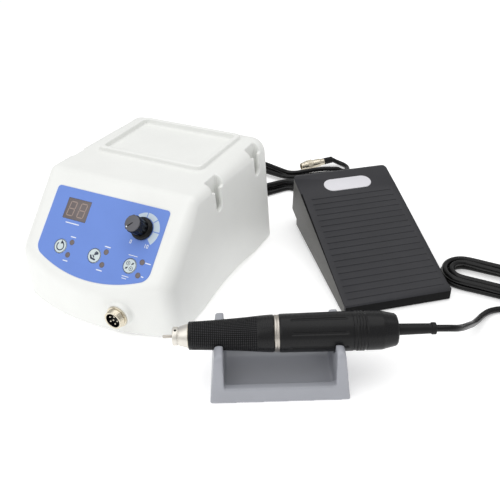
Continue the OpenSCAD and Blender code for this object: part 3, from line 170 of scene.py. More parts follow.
BLACK_INSERT = surface("socket_insert", (8, 8, 9), 0.5, vary=0.1, grain=2200, ior=1.25)
HANDLE = surface("handpiece_black", (25, 25, 26), 0.28, vary=0.1, ior=1.3)
GRIP = surface("grip_black", (54, 54, 56), 0.3, vary=0.1, bump=0.06, ior=1.34)
# Darker black for the floors of the knurl grooves: painted shade in the grooves
GRIP_GROOVE_SHADE = surface("grip_painted_groove_shade", (18, 18, 19), 0.5, vary=0.1, bump=0.06, ior=1.2)
RUBBER = surface("black_rubber", (20, 20, 21), 0.45, vary=0.1, grain=1900, bump=0.08, ior=1.32)
CORD = surface("cord_jacket", (12, 12, 13), 0.28, vary=0.1, grain=1700, bump=0.06, ior=1.35)
CRADLE_GREY = surface("cradle_grey", (161, 163, 170), 0.36, vary=0.03, coat=0.1)
TREAD = surface("tread_charcoal", (44, 44, 48), 0.46, vary=0.07, grain=1500, bump=0.14, ior=1.38)
# Lighter grey for the sides of the charcoal tread: painted light where the key light falls on them
TREAD_LIT_SIDE = surface("tread_side_painted_light", (68, 67, 64), 0.5, grain=1500, bump=0.14)
# Near black for the rim edges and the front wall of the tread: painted shade of the gap under the rim and of
# the shaded front
TREAD_PAINTED_SHADE = surface("tread_painted_shade", (12, 12, 13), 0.6, grain=1500, bump=0.1, ior=1.2)
PLATE = surface("bare_plate", (222, 221, 226), 0.34, vary=0.02, bump=0.03)
GREY_RUBBER = surface("foot_rubber", (74, 74, 76), 0.65, vary=0.08, grain=1700, bump=0.12)
DARK_PLASTIC = surface("dark_plastic", (38, 39, 41), 0.4, vary=0.08, grain=2000, bump=0.06)
RED = surface("rocker_red", (168, 40, 36), 0.33, grain=2200, bump=0.03, coat=0.2)
BOARD = surface("circuit_board", (30, 92, 62), 0.42, vary=0.12, patch=260, grain=1500, bump=0.1)
CORE = surface("core_steel", (120, 120, 122), 0.45, 0.9, vary=0.1, grain=900, bump=0.2,
               brushed=(0.1, 0.1, 3))
COPPER = surface("copper_winding", (186, 112, 66), 0.34, 0.9, vary=0.12, grain=1400, bump=0.4,
                 brushed=(0.05, 0.05, 2))
ALUMINIUM = surface("aluminium", (190, 192, 195), 0.34, 1.0, grain=900, bump=0.06, brushed=(1, 0.06, 1))
MAGNET = surface("magnet", (92, 92, 96), 0.36, 0.9, vary=0.08, grain=1800)
TIE = surface("tie_strap", (30, 30, 31), 0.46, vary=0.08, grain=2000, bump=0.06)
FLOOR = surface("floor", (250, 250, 250), 0.6, vary=0.004, patch=3, grain=200, bump=0.0)
FLOOR_GLOW = 0.33
glow = FLOOR.node_tree.nodes["Principled BSDF"].inputs
glow["Emission Color"].default_value = (1, 1, 1, 1)
glow["Emission Strength"].default_value = FLOOR_GLOW

# Mesh helpers: faces larger than FLAT_AREA stay flat when the rest is shaded smooth
FLAT_AREA = 30 * MM ** 2
WELD_DISTANCE = 0.000004


def link(name, data):
    piece = bpy.data.objects.new(name, data)
    scene.collection.objects.link(piece)
    return piece


def raw(name, points, faces):
    mesh = bpy.data.meshes.new(name)
    mesh.from_pydata([tuple(p) for p in points], [], faces)
    work = bmesh.new()
    work.from_mesh(mesh)
    bmesh.ops.recalc_face_normals(work, faces=work.faces)
    work.to_mesh(mesh)
    work.free()
    return link(name, mesh)


def shading(piece, angle):
    for face in piece.data.polygons:
        face.use_smooth = face.area < FLAT_AREA
    piece.data.set_sharp_from_angle(angle=math.radians(angle))


def dress(piece, material, body, nodes, angle=35):
    piece.data.materials.clear()
    piece.data.materials.append(material)
    if piece.type == "MESH":
        shading(piece, angle)
    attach(piece, body)
    if nodes:
        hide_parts(*nodes)
    return piece


def solid(name, shape, place, material, body, nodes, angle=35):
    """Piece from a shape in millimetres, put in its place and dressed."""
    points, faces = shape
    piece = raw(name, [place @ Vector(p) * MM for p in points], faces)
    return dress(piece, material, body, nodes, angle)


def join(*shapes):
    points, faces = [], []
    for shape_points, shape_faces in shapes:
        start = len(points)
        points += [tuple(p) for p in shape_points]
        faces += [[start + k for k in face] for face in shape_faces]
    return points, faces


def moved(shape, place):
    points, faces = shape
    return [tuple(place @ Vector(p)) for p in points], faces


def soften(points, radius, steps=3, closed=False):
    """The same outline with round corners."""
    out = []
    count = len(points)
    for i, p in enumerate(points):
        p = Vector(p)
        if not closed and i in (0, count - 1):
            out.append(p)
            continue
        back = Vector(points[i - 1]) - p
        ahead = Vector(points[(i + 1) % count]) - p
        cut = min(radius, back.length * 0.45, ahead.length * 0.45)
        if cut < 0.001:
            out.append(p)
            continue
        first = p + back.normalized() * cut
        last = p + ahead.normalized() * cut
        for k in range(steps + 1):
            t = k / steps
            out.append(first * (1 - t) ** 2 + p * (2 * t * (1 - t)) + last * t * t)
    return [tuple(p) for p in out]


def divide(profile, step):
    """The same profile with points no further apart than the step."""
    out = [profile[0]]
    for a, b in zip(profile, profile[1:]):
        length = math.dist(a, b)
        pieces = max(1, math.ceil(length / step))
        out += [tuple(a[k] + (b[k] - a[k]) * i / pieces for k in (0, 1)) for i in range(1, pieces + 1)]
    return out


def lathe(profile, segments, form=None):
    """Turned form: the profile runs from axis to axis, or closes on itself away from the axis."""
    points, rows, faces = [], [], []
    for r, z in profile:
        if r < 0.0001:
            rows.append([len(points)])
            points.append((0, 0, z))
            continue
        rows.append(list(range(len(points), len(points) + segments)))
        for k in range(segments):
            a = 2 * math.pi * k / segments
            radius = form(r, z, a) if form else r
            points.append((radius * math.cos(a), radius * math.sin(a), z))
    pairs = list(zip(rows, rows[1:]))
    if len(rows[0]) > 1:
        pairs.append((rows[-1], rows[0]))
    for low, high in pairs:
        for k in range(segments):
            n = (k + 1) % segments
            if len(low) == 1 and len(high) == 1:
                continue
            if len(low) == 1:
                faces.append([low[0], high[n], high[k]])
            elif len(high) == 1:
                faces.append([low[k], low[n], high[0]])
            else:
                faces.append([low[k], low[n], high[n], high[k]])
    return points, faces


def turned(name, profile, rounding, segments, place, material, body, nodes, steps=3):
    """Turned piece; a profile that starts away from the axis closes on itself."""
    closed = profile[0][0] > 0
    shape = lathe(soften(profile, rounding, steps, closed), segments)
    return solid(name, shape, place, material, body, nodes)


def grooves(r, root, start, pitch, count, rises):
    """Part of a profile: a row of grooves, each with a foot, a floor and an end at the rises."""
    out = []
    for k in range(count):
        z = start + pitch * k
        out += [(r, z), (root, z + rises[0]), (root, z + rises[1]), (r, z + rises[2])]
    return out


def inset(outline, depth):
    """Counter-clockwise outline moved inwards by the depth."""
    out = []
    count = len(outline)
    for i, p in enumerate(outline):
        a = Vector(p) - Vector(outline[i - 1])
        b = Vector(outline[(i + 1) % count]) - Vector(p)
        normal = Vector((-a.y, a.x)).normalized() + Vector((-b.y, b.x)).normalized()
        if normal.length < 0.0001:
            normal = Vector((-a.y, a.x))
        normal.normalize()
        out.append((p[0] + normal.x * depth, p[1] + normal.y * depth))
    return out


def slab(outline, low, high, edge=0.3, steps=3):
    """Outline, drawn counter-clockwise, raised from low to high with round rims."""
    rings = []
    for k in range(steps + 1):
        a = math.pi / 2 * k / steps
        rings.append((edge * (1 - math.sin(a)), low + edge * (1 - math.cos(a))))
    for k in range(steps, -1, -1):
        a = math.pi / 2 * k / steps
        rings.append((edge * (1 - math.sin(a)), high - edge * (1 - math.cos(a))))
    points, faces = [], []
    count = len(outline)
    for depth, z in rings:
        points += [(x, y, z) for x, y in inset(outline, depth)]
    for row in range(len(rings) - 1):
        for k in range(count):
            n = (k + 1) % count
            faces.append([row * count + k, row * count + n, (row + 1) * count + n, (row + 1) * count + k])
    faces.append(list(range(count - 1, -1, -1)))
    last = (len(rings) - 1) * count
    faces.append([last + k for k in range(count)])
    return points, faces


def arc(x, y, r, start, end, count):
    angles = [math.radians(start + (end - start) * k / count) for k in range(count + 1)]
    return [(x + r * math.cos(a), y + r * math.sin(a)) for a in angles]


def disc(x, y, r, count):
    return arc(x, y, r, 0, 360 - 360 / count, count - 1)


def sector(x, y, r_in, r_out, start, end, count):
    return arc(x, y, r_out, start, end, count) + arc(x, y, r_in, end, start, count)


def box2(w, d, r, x=0, y=0, steps=6):
    a, b = w / 2 - r, d / 2 - r
    return (arc(x + a, y + b, r, 0, 90, steps) + arc(x - a, y + b, r, 90, 180, steps)
            + arc(x - a, y - b, r, 180, 270, steps) + arc(x + a, y - b, r, 270, 360, steps))


def bar(x0, y0, x1, y1, width):
    """Outline of a straight stroke with round ends."""
    run = Vector((x1 - x0, y1 - y0))
    angle = math.degrees(math.atan2(run.y, run.x))
    return (arc(x1, y1, width / 2, angle - 90, angle + 90, 6)
            + arc(x0, y0, width / 2, angle + 90, angle + 270, 6))


def settle(piece):
    """Turns the modifiers of a piece into its mesh."""
    bpy.context.view_layer.update()
    graph = bpy.context.evaluated_depsgraph_get()
    mesh = bpy.data.meshes.new_from_object(piece.evaluated_get(graph))
    old = piece.data
    piece.modifiers.clear()
    piece.data = mesh
    bpy.data.meshes.remove(old)
    return piece


def combine(piece, tools, operation):
    for tool in tools:
        step = piece.modifiers.new("combine", "BOOLEAN")
        step.operation = operation
        step.solver = "EXACT"
        step.object = tool
    settle(piece)
    for tool in tools:
        mesh = tool.data
        bpy.data.objects.remove(tool)
        bpy.data.meshes.remove(mesh)
    return piece


def to_metres(piece):
    piece.data.transform(Matrix.Scale(MM, 4))
    return piece


def remesh(piece, voxel, smoothing, keep):
    step = piece.modifiers.new("voxels", "REMESH")
    step.mode = "VOXEL"
    step.voxel_size = voxel
    step = piece.modifiers.new("smooth", "SMOOTH")
    step.factor = 0.5
    step.iterations = smoothing
    step = piece.modifiers.new("thin_out", "DECIMATE")
    step.ratio = keep
    return settle(piece)


def copy_node(node, name):
    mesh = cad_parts[node].data.copy()
    mesh.name = name
    work = bmesh.new()
    work.from_mesh(mesh)
    bmesh.ops.remove_doubles(work, verts=work.verts, dist=WELD_DISTANCE)
    bmesh.ops.dissolve_limit(work, angle_limit=math.radians(1), verts=work.verts, edges=work.edges)
    work.to_mesh(mesh)
    work.free()
    return link(name, mesh)


def bevel(piece, width):
    step = piece.modifiers.new("edges", "BEVEL")
    step.width = width * MM
    step.segments = 2
    step.limit_method = "ANGLE"
    step.angle_limit = math.radians(30)
    return settle(piece)


# Camera fitted to the photograph
FOCAL = 658 / 500
SENSOR = 36
EYE = Vector((315.5, -405.8, 347.7))
PITCH = math.radians(-33.26)
ROLL = math.radians(1.57)
heading = Vector((-0.4618, 0.887, 0)).normalized()
forward = heading * math.cos(PITCH) + Vector((0, 0, math.sin(PITCH)))
right = Vector((heading.y, -heading.x, 0))
up = right.cross(forward)
tilted_up = up * math.cos(ROLL) + right * math.sin(ROLL)
tilted_right = right * math.cos(ROLL) - up * math.sin(ROLL)
lens = bpy.data.cameras.new("camera")
lens.sensor_width = SENSOR
lens.lens = FOCAL * SENSOR
lens.clip_end = 30
camera = link("camera", lens)
basis = Matrix((tilted_right, tilted_up, -forward)).transposed().to_4x4()
camera.matrix_world = Matrix.Translation(EYE * MM) @ basis
scene.camera = camera

# Floor and soft light
SKY_STRENGTH = 0.56
floor_mesh = bpy.data.meshes.new("floor")
floor_mesh.from_pydata([(-6, -6, 0), (6, -6, 0), (6, 6, 0), (-6, 6, 0)], [], [[0, 1, 2, 3]])
floor = link("floor", floor_mesh)
floor.data.materials.append(FLOOR)

world = bpy.data.worlds.new("studio")
world.use_nodes = True
sky = world.node_tree.nodes["Background"].inputs
sky["Color"].default_value = (1, 1, 1, 1)
sky["Strength"].default_value = SKY_STRENGTH
scene.world = world
scene.view_settings.view_transform = "Standard"
scene.view_settings.look = "None"


def softbox(name, place, target, size, power):
    data = bpy.data.lights.new(name, "AREA")
    data.shape = "RECTANGLE"
    data.size, data.size_y = size
    data.energy = power
    lamp = link(name, data)
    lamp.location = place
    lamp.rotation_euler = (Vector(target) - Vector(place)).to_track_quat("-Z", "Y").to_euler()


softbox("key", (-0.25, -1.0, 1.2), (0.12, 0.0, 0.03), size=(1.5, 1.3), power=7.2)
softbox("overhead", (0.2, 0.25, 1.5), (0.15, 0.0, 0.0), size=(1.7, 1.4), power=8.4)

# Cords: the points of part.scad, made into one smooth curve each
CORD_R = 2.6
LAYER = 5.8
COIL_X, COIL_Y, COIL_R, COIL_HALF, COIL_WINDS, COIL_STEPS = 315, 104, 23, 50, 2, 24
HANK_X, HANK_Y, HANK_TURN, HANK_WINDS, HANK_STEPS = 52, 205, 18, 1.25, 36
HANK_START, HANK_WIDE, HANK_GROWTH = -75, 64, 20
NEAR_REACH, FAR_REACH, WAIST = 62, 84, 7
WOUND_POINTS, LEAD_IN = 97, 5.2


def smooth_run(points, step=2.5):
    """Smooth curve through the points."""
    path = [Vector(p) for p in points]
    out = []
    last = len(path) - 1
    for i in range(last):
        p0, p1, p2, p3 = path[max(i - 1, 0)], path[i], path[i + 1], path[min(i + 2, last)]
        count = max(1, round((p2 - p1).length / step))
        for k in range(count):
            t = k / count
            out.append(0.5 * (2 * p1 + (p2 - p0) * t + (2 * p0 - 5 * p1 + 4 * p2 - p3) * t * t
                              + (3 * p1 - p0 - 3 * p2 + p3) * t ** 3))
    return out + [path[-1]]


def layer_step(t, wound_in):
    return t if t < wound_in + 0.25 else 2 * wound_in + 0.5 - t


def layer_z(t, wound_in):
    climb = 0 if t < wound_in else min(1, 2 * (t - wound_in))
    return CORD_R + LAYER * climb


def coil_point(t):
    r = COIL_R - LAYER * layer_step(t, COIL_WINDS)
    q = 4 * (t - math.floor(t))
    a = math.pi * (q % 1)
    if q < 1:
        x, y = COIL_HALF + r * math.sin(a), -r * math.cos(a)
    elif q < 2:
        x, y = COIL_HALF - 2 * COIL_HALF * (q - 1), r
    elif q < 3:
        x, y = -COIL_HALF - r * math.sin(a), r * math.cos(a)
    else:
        x, y = -COIL_HALF + 2 * COIL_HALF * (q - 3), -r
    return (COIL_X + x, COIL_Y + y, layer_z(t, COIL_WINDS))


def lobe(a, wide):
    c, s = math.cos(math.radians(a)), math.sin(math.radians(a))
    opening = math.sqrt(c * c + 0.02) - 0.14
    share = wide * 0.5 if c > 0 else wide
    reach = NEAR_REACH if c > 0 else FAR_REACH
    return Vector((reach * c, s * (WAIST + share * opening)))


def hank_point(t):
    a = HANK_START - 360 * t
    turn = HANK_WINDS - layer_step(t, HANK_WINDS)
    wide = HANK_WIDE + HANK_GROWTH * turn
    d = lobe(a + 0.5, wide) - lobe(a - 0.5, wide)
    p = lobe(a, wide) + LAYER * turn * Vector((d.y, -d.x)) / d.length
    c, s = math.cos(math.radians(HANK_TURN)), math.sin(math.radians(HANK_TURN))
    return (HANK_X + p.x * c - p.y * s, HANK_Y + p.x * s + p.y * c, layer_z(t, HANK_WINDS))


HANDPIECE_EXIT = HANDPIECE @ Vector((0, 0, 189.0))
PEDAL_EXIT = PEDAL @ Vector((-20, 160.5, 6.5))
HANDPIECE_ROUTE = [
    (274, -19, 38.3), (279, -13, 35.5), (282, -3, 30), (284, 10, 22.5), (286, 24, 14.5), (288, 38, 8.5),
    (290, 50, 4.8), (294, 60, 3.2), (301, 67, 2.7), (311, 71, 2.6), (323, 73, 2.6),
    (336, 75, 2.6), (348, 78, 2.6)
]
PEDAL_ROUTE = [
    (103, 151.4, 6.5), (98, 158, 5.8), (93.5, 165, 4.8), (90.2, 172.5, 3.6), (87.4, 179.5, 2.8),
    (83, 185.6, 2.6)
]
coil = [coil_point(i / COIL_STEPS) for i in range(WOUND_POINTS)]
start = Vector(coil[0]) - Vector((LEAD_IN, 0, 0))
end = Vector(coil[-1])
TAIL = [(8, 0.3, 0), (16, 1.8, 0), (23, 5.5, 0.1), (28, 11, 0.2), (30, 18, 0.3), (30, 25, 0.3)]
handpiece_path = smooth_run(
    [HANDPIECE_EXIT] + HANDPIECE_ROUTE + [start - Vector((4, 0.4, 0)), start] + coil
    + [end + Vector(p) for p in TAIL])
hank = [hank_point(i / HANK_STEPS) for i in range(WOUND_POINTS)]
lead = (Vector(hank[1]) - Vector(hank[0])).normalized()
HANK_TAIL = [(92, 247.6, 8.1)]
LOOP_X, LOOP_Y, LOOP_R, LOOP_FROM, LOOP_SWEEP, LOOP_STEPS = 86.4, 259, 12.7, -64, 200, 9
for k in range(1, LOOP_STEPS + 1):
    a = math.radians(LOOP_FROM + LOOP_SWEEP * k / LOOP_STEPS)
    rise = 2.7 + 5.7 * abs(1 - 2 * k / LOOP_STEPS) ** 3
    HANK_TAIL.append((LOOP_X + LOOP_R * math.cos(a), LOOP_Y + LOOP_R * math.sin(a), rise))
pedal_path = smooth_run([PEDAL_EXIT] + PEDAL_ROUTE + [Vector(hank[0]) - LEAD_IN * lead] + hank + HANK_TAIL)


def cord_piece(name, path, nodes):
    data = bpy.data.curves.new(name, "CURVE")
    data.dimensions = "3D"
    data.bevel_depth = CORD_R * MM
    data.bevel_resolution = 4
    data.use_fill_caps = True
    line = data.splines.new("POLY")
    line.points.add(len(path) - 1)
    for point, place in zip(line.points, path):
        point.co = (*(place * MM), 1)
    line.use_smooth = True
    piece = link(name, data)
    dress(piece, CORD, "set", nodes)
    return piece, round(sum((b - a).length for a, b in zip(path, path[1:])) * MM, 3)


handpiece_cord, handpiece_cord_length = cord_piece(
    "handpiece_lead", handpiece_path, ("handpiece_cord", "handpiece_cord_coil"))
pedal_cord, pedal_cord_length = cord_piece("pedal_lead", pedal_path, ("pedal_cord", "pedal_cord_hank"))

# Plugs on the cords
PLUG_SEGMENTS, RING_SEGMENTS = 72, 120
KNURL_DEPTH, KNURL_TEETH = 0.35, 24


def plug(name, place, r, length):
    """Cord plug: a ribbed boot, a metal barrel and the coupling ring that turns on it."""
    boot_l = length * 0.3
    boot = [(0, 0), (3.6, 0)]
    for k in range(4):
        z = length * (0.05 + 0.065 * k)
        wide = 3.6 + (r - 4.6) * z / (length * 0.4)
        boot += [(wide + 0.25, z), (wide + 0.25, z + 0.9), (wide - 0.1, z + 1), (wide - 0.1, z + 1.5)]
    boot += [(r - 1.2, boot_l), (0, boot_l)]
    shell = turned(name + "_boot", boot, 0.3, PLUG_SEGMENTS, place, RUBBER, "set", (name,))
    ring_z = length * 0.7
    barrel = [(0, boot_l), (r - 1, boot_l), (r - 0.8, boot_l + 0.3), (r - 0.8, length * 0.42),
              (r, length * 0.45), (r, ring_z), (r - 1.4, ring_z), (r - 1.4, length), (r - 2.2, length),
              (r - 2.2, length - 1.5), (0, length - 1.5)]
    sleeve = turned(name + "_barrel", barrel, 0.25, PLUG_SEGMENTS, place, NICKEL, "set", ())
    z0 = ring_z + 0.3
    ring = [(r - 1.35, z0), (r + 0.6, z0), (r + 1, z0 + 0.5), (r + 1, z0 + 6.4), (r + 0.5, z0 + 6.9),
            (r + 0.4, length - 0.4), (r - 0.2, length + 0.1), (r - 0.3, length + 3), (r - 0.7, length + 3.6),
            (r - 1.35, length + 3.6)]
    ring = divide(soften(ring, 0.2, closed=True) + [ring[0]], 0.8)[:-1]
    body_name = "large_ring" if r > 6 else "small_ring"

    def knurl(q, z, a):
        if z0 + 0.8 < z < z0 + 6.2 and q > r + 0.7:
            return q - KNURL_DEPTH * (0.5 - 0.5 * math.cos(KNURL_TEETH * a)) ** 2
        return q

    coupling = solid(name + "_coupling", lathe(ring, RING_SEGMENTS, knurl), place, NICKEL, body_name,
                     (name + "_ring",))
    return shell, sleeve, coupling


big_plug = plug("handpiece_plug", aim(end + Vector(TAIL[-1]), (0, 1, 0)), r=7.4, length=30)
small_plug = plug("pedal_plug", aim(HANK_TAIL[-1], (-27.4, -28.8, -2)), r=4.6, length=36)


def tie(name, place, half, height, width):
    """Strap over a bundle, down to the table on both sides, with a small buckle on top."""
    t = 0.8
    outer = [(half + t, 0.05), (half + t, height - 3), (half - 2, height + t), (-half + 2, height + t),
             (-half - t, height - 3), (-half - t, 0.05)]
    inner = [(-half, 0.05), (-half, height - 3.4), (-half + 2.4, height), (half - 2.4, height),
             (half, height - 3.4), (half, 0.05)]
    strap = slab(soften(outer, 2, 4) + soften(inner, 2, 4), -width / 2, width / 2, 0.25)
    buckle = slab(box2(5, 2.4, 0.6, 0, height + 1.6), -width / 2 - 0.7, width / 2 + 0.7, 0.4)
    return solid(name, join(strap, buckle), place @ SIDEWAYS, TIE, "set", ())


coil_tie = tie("coil_tie", at(335, 88.2, 0), half=7.4, height=11.4, width=4.5)
hank_end = at(HANK_X, HANK_Y, 0) @ spin(HANK_TURN, "Z") @ at(63.5, 0, 0)
hank_tie = tie("hank_tie", hank_end @ spin(90, "Z"), half=8.6, height=11.4, width=4.5)

# Housing: the same round form as the CAD, cut, remeshed and smoothed
HALF_W, LEAN, FOOT_Z, LEAN_H = 78.5, 5.4, 2.5, 101.5
SHOULDER_R, CORNER_R, CORNER_X = 17, 16, 62.5
BROW_R, BROW_Y, BROW_Z = 8, -24.58, 95.36
BACK_R, BACK_X, BACK_Y, BACK_Z = 14, 64.5, 90, 90
ROD_SEGMENTS = 64


def half_w(z):
    return HALF_W - LEAN * (z - FOOT_Z) / LEAN_H


def bow_at(x, r):
    return BOW_Y - math.sqrt((BOW_R - r) ** 2 - x * x)


def slope_z(y, r):
    t = math.radians(PANEL_TILT)
    return PANEL_Z + (math.sin(t) * (y - PANEL_Y) - r) / math.cos(t)


def ball(x, y, z, r, rows=22):
    out = [(x, y, z - r), (x, y, z + r)]
    for i in range(1, rows):
        a = math.pi * i / rows - math.pi / 2
        wide = r * math.cos(a)
        for k in range(2 * rows):
            b = math.pi * k / rows
            out.append((x + wide * math.cos(b), y + wide * math.sin(b), z + r * math.sin(a)))
    return out


def unit_plan(depth):
    front_y = bow_at(CORNER_X, CORNER_R)
    turn = math.degrees(math.asin(CORNER_X / (BOW_R - CORNER_R)))
    return (arc(0, BOW_Y, BOW_R - depth, 270 - turn, 270 + turn, 48)
            + arc(CORNER_X, front_y, CORNER_R - depth, 270 + turn, 360, 12)
            + arc(BACK_X, BACK_Y, BACK_R - depth, 0, 90, 12)
            + arc(-BACK_X, BACK_Y, BACK_R - depth, 90, 180, 12)
            + arc(-CORNER_X, front_y, CORNER_R - depth, 180, 270 - turn, 12))


def unit_form(depth, drop):
    """Hull of the plan and of the balls under its shoulders, made smaller by the depth on all sides."""
    points = [(x, y, z) for x, y in unit_plan(depth) for z in (FOOT_Z - drop, FOOT_Z + 1 - drop)]
    for x in (-36, -18, 0, 18, 36):
        y = bow_at(x, SHOULDER_R)
        points += ball(x, y, slope_z(y, SHOULDER_R), SHOULDER_R - depth)
    corner = half_w(40) - CORNER_R
    for s in (-1, 1):
        y = bow_at(corner, CORNER_R)
        points += ball(s * corner, y, slope_z(y, CORNER_R), CORNER_R - depth)
        points += ball(s * (half_w(BROW_Z) - BROW_R), BROW_Y, BROW_Z, BROW_R - depth)
        points += ball(s * (half_w(BACK_Z) - BACK_R), BACK_Y, BACK_Z, BACK_R - depth)
    work = bmesh.new()
    for p in points:
        work.verts.new(p)
    bmesh.ops.convex_hull(work, input=work.verts)
    bmesh.ops.delete(work, geom=[v for v in work.verts if not v.link_faces], context="VERTS")
    mesh = bpy.data.meshes.new("unit_form")
    work.to_mesh(mesh)
    work.free()
    return link("unit_form", mesh)


def tool(shape, place=TABLE):
    return raw("tool", *moved(shape, place))


def rod(r, low, high):
    return lathe([(0, low), (r, low), (r, high), (0, high)], ROD_SEGMENTS)


def panel_outline(grow):
    top_x, top_r, low_x, low_r, arc_y, arc_r = 52.7, 3, 45.7, 10, 50.5, 121
    turn = math.degrees(math.asin(low_x / (arc_r - low_r)))
    low_y = arc_y - (arc_r - low_r) * math.cos(math.radians(turn))
    return (arc(0, arc_y, arc_r + grow, 270 - turn, 270 + turn, 40)
            + arc(low_x, low_y, low_r + grow, 270 + turn, 360, 12)
            + arc(top_x, -top_r, top_r + grow, 0, 90, 8) + arc(-top_x, -top_r, top_r + grow, 90, 180, 8)
            + arc(-low_x, low_y, low_r + grow, 180, 270 - turn, 12))


KEY_XS = (-32.9, 1.6, 36.1)
KEY_Y = -49.8
LED_PLACES = [(x + 9.7, KEY_Y + s * 5.35) for x in KEY_XS for s in (-1, 1)]
KNOB_AT = (36.4, -19)
DISPLAY_AT = (-29.3, -17.4)
DISPLAY_HOLE = (23.6, 18.1, 0.6)
KEY_HOLE_R = 6.3
POCKET_YS = (5.5, 76.5)
POCKET_L = 18
SLOT_R, SLOT_Z = 4.7, 80.2
WALL = 2.6
TRAY_Y = 50.5
BOSS_R = 10.8


def panel_holes(low, high, lens_r, shaft_r):
    """Tools for the openings in the panel: display, keys, indicators and knob shaft."""
    shapes = [slab(box2(*DISPLAY_HOLE, *DISPLAY_AT), low, high, 0)]
    shapes += [moved(rod(KEY_HOLE_R, low, high), at(x, KEY_Y, 0)) for x in KEY_XS]
    shapes += [moved(rod(lens_r, low, high), at(x, y, 0)) for x, y in LED_PLACES]
    shapes.append(moved(rod(shaft_r, low, high), at(*KNOB_AT, 0)))
    return [tool(shape, PANEL) for shape in shapes]


inner = unit_form(WALL, drop=2)
stands = [tool(slab(box2(15.2, 23.2, 1, s * 70.9, y), 70.9, 106, 0.4)) for s in (-1, 1) for y in POCKET_YS]
stands.append(tool(rod(BOSS_R, -9, 0), SOCKET))
combine(inner, stands, "DIFFERENCE")
housing = unit_form(0, drop=0)
combine(housing, [
    tool(slab(box2(106, 75, 5.2, 0, TRAY_Y), 88, 107.7, 0.9)),
    tool(rod(BOSS_R, -6.2, 0), SOCKET),
], "UNION")
cuts = [inner, tool(slab(box2(97.6, 66.6, 4.2, 0, TRAY_Y), 102.9, 112, 0.9))]
ARCH_L, ARCH_H = 95, 4.5
ARCH_R = (ARCH_L ** 2 / 4 + ARCH_H ** 2) / (2 * ARCH_H)
cuts.append(tool(slab(disc(12, FOOT_Z + ARCH_H - ARCH_R, ARCH_R, 360), -90, 90, 0), SIDEWAYS))
for y in POCKET_YS:
    slot_side = [(y + SLOT_R, 100), (y - SLOT_R, 100)] + arc(y, SLOT_Z, SLOT_R, 180, 360, 16)
    for s in (-1, 1):
        cuts.append(tool(slab(box2(14.1, POCKET_L, 0.6, s * 72.95, y), 94.5, 112, 0)))
        cuts.append(tool(slab(box2(4.6, POCKET_L, 0.6, s * 68.2, y), 73.5, 96, 0)))
        cuts.append(tool(slab(slot_side, *sorted((66.9 * s, 80 * s)), 0), SIDEWAYS))
cuts.append(tool(slab(panel_outline(0.15), -0.8, 8, 0), PANEL))
cuts += panel_holes(-8, 2, lens_r=1.75, shaft_r=3.7)
cuts += [
    tool(rod(8.1, -20, 2), SOCKET),
    tool(rod(4.8, -8, 4), PEDAL_SOCKET),
    tool(slab(box2(27.4, 19.9, 0.5), -8, 4, 0), INLET),
    tool(slab(box2(19.4, 13.4, 0.5), -8, 4, 0), SWITCH),
]
combine(housing, cuts, "DIFFERENCE")
remesh(housing, voxel=0.65, smoothing=5, keep=0.2)
to_metres(housing)
housing.name = "unit_shell"
dress(housing, WHITE, "set", ("housing",), 50)

# Panel film with its openings
film = raw("panel_film", *moved(slab(panel_outline(0), -0.8, 0.05, 0.22), PANEL))
to_metres(combine(film, panel_holes(-3, 3, lens_r=2.36, shaft_r=3.6), "DIFFERENCE"))
dress(film, BLUE, "set", ("panel_overlay",), 30)

# Printing on the film: plain shapes and plain numbers only
PRINT_LOW, PRINT_HIGH = 0.03, 0.09


def ink(*outlines, low=PRINT_LOW, high=PRINT_HIGH):
    return join(*[slab(outline, low, high, 0.01, 1) for outline in outlines])


def ring_ink(x, y, r_in, r_out, low, high, start=0, end=360, count=48):
    if end - start >= 360:
        halves = [sector(x, y, r_in, r_out, a, a + 180, count) for a in (0, 180)]
        return ink(*halves, low=low, high=high)
    return ink(sector(x, y, r_in, r_out, start, end, count), low=low, high=high)


DIAL_IN, DIAL_OUT, DIAL_NARROWING = 9.8, 15.5, 0.021


def dial_mark(start, end, count=12):
    angles = [start + (end - start) * k / count for k in range(count + 1)]
    outer = [arc(*KNOB_AT, min(DIAL_OUT, DIAL_OUT - DIAL_NARROWING * a), a, a, 1)[0] for a in angles]
    return outer + arc(*KNOB_AT, DIAL_IN, end, start, count)


dial = [dial_mark(89.5, 127), dial_mark(43, 86), dial_mark(1, 40), dial_mark(-44, -2.5)]
solid("dial_print", ink(*dial), PANEL, PALE_PRINT, "set", ())

SEGMENTS = {"a": (-1, 2, 1, 2), "b": (1, 2, 1, 0), "c": (1, 0, 1, -2), "d": (-1, -2, 1, -2),
            "e": (-1, 0, -1, -2), "f": (-1, 2, -1, 0), "g": (-1, 0, 1, 0)}


def digit(segments, x, y, size, width, lean=0.0, gap=0.0):
    out = []
    for key in segments:
        x0, y0, x1, y1 = SEGMENTS[key]
        a = Vector((x + (x0 + lean * y0) * size, y + y0 * size))
        b = Vector((x + (x1 + lean * y1) * size, y + y1 * size))
        cut = (b - a).normalized() * gap
        out.append(bar(*(a + cut), *(b - cut), width))
    return out


NUMBER_SIZE, NUMBER_LINE = 0.62, 0.5
MARKS = [(-29.4, -29.4, 13), (-23.5, -40, 4.6), (-23.7, -60.2, 4.2), (11.2, -40.2, 5), (10.4, -59.9, 5),
         (51.2, -44.4, 4.4), (50, -55.4, 1.6)]
THIN_MARKS = [(36.1, -41.4, 8), (35.2, -58.6, 6), (34.6, -60.4, 4)]
numbers = []
for parts, x, y in (("abcdef", 29.7, -31), ("bc", 42.9, -31.6), ("abcdef", 45.6, -31.6)):
    numbers += digit(parts, x, y, NUMBER_SIZE, NUMBER_LINE)
marks = [bar(x - w / 2, y, x + w / 2, y, 0.8) for x, y, w in MARKS]
marks += [bar(x - w / 2, y, x + w / 2, y, 0.5) for x, y, w in THIN_MARKS]
solid("plain_marks", ink(*numbers, *marks), PANEL, WHITE_PRINT, "set", ())

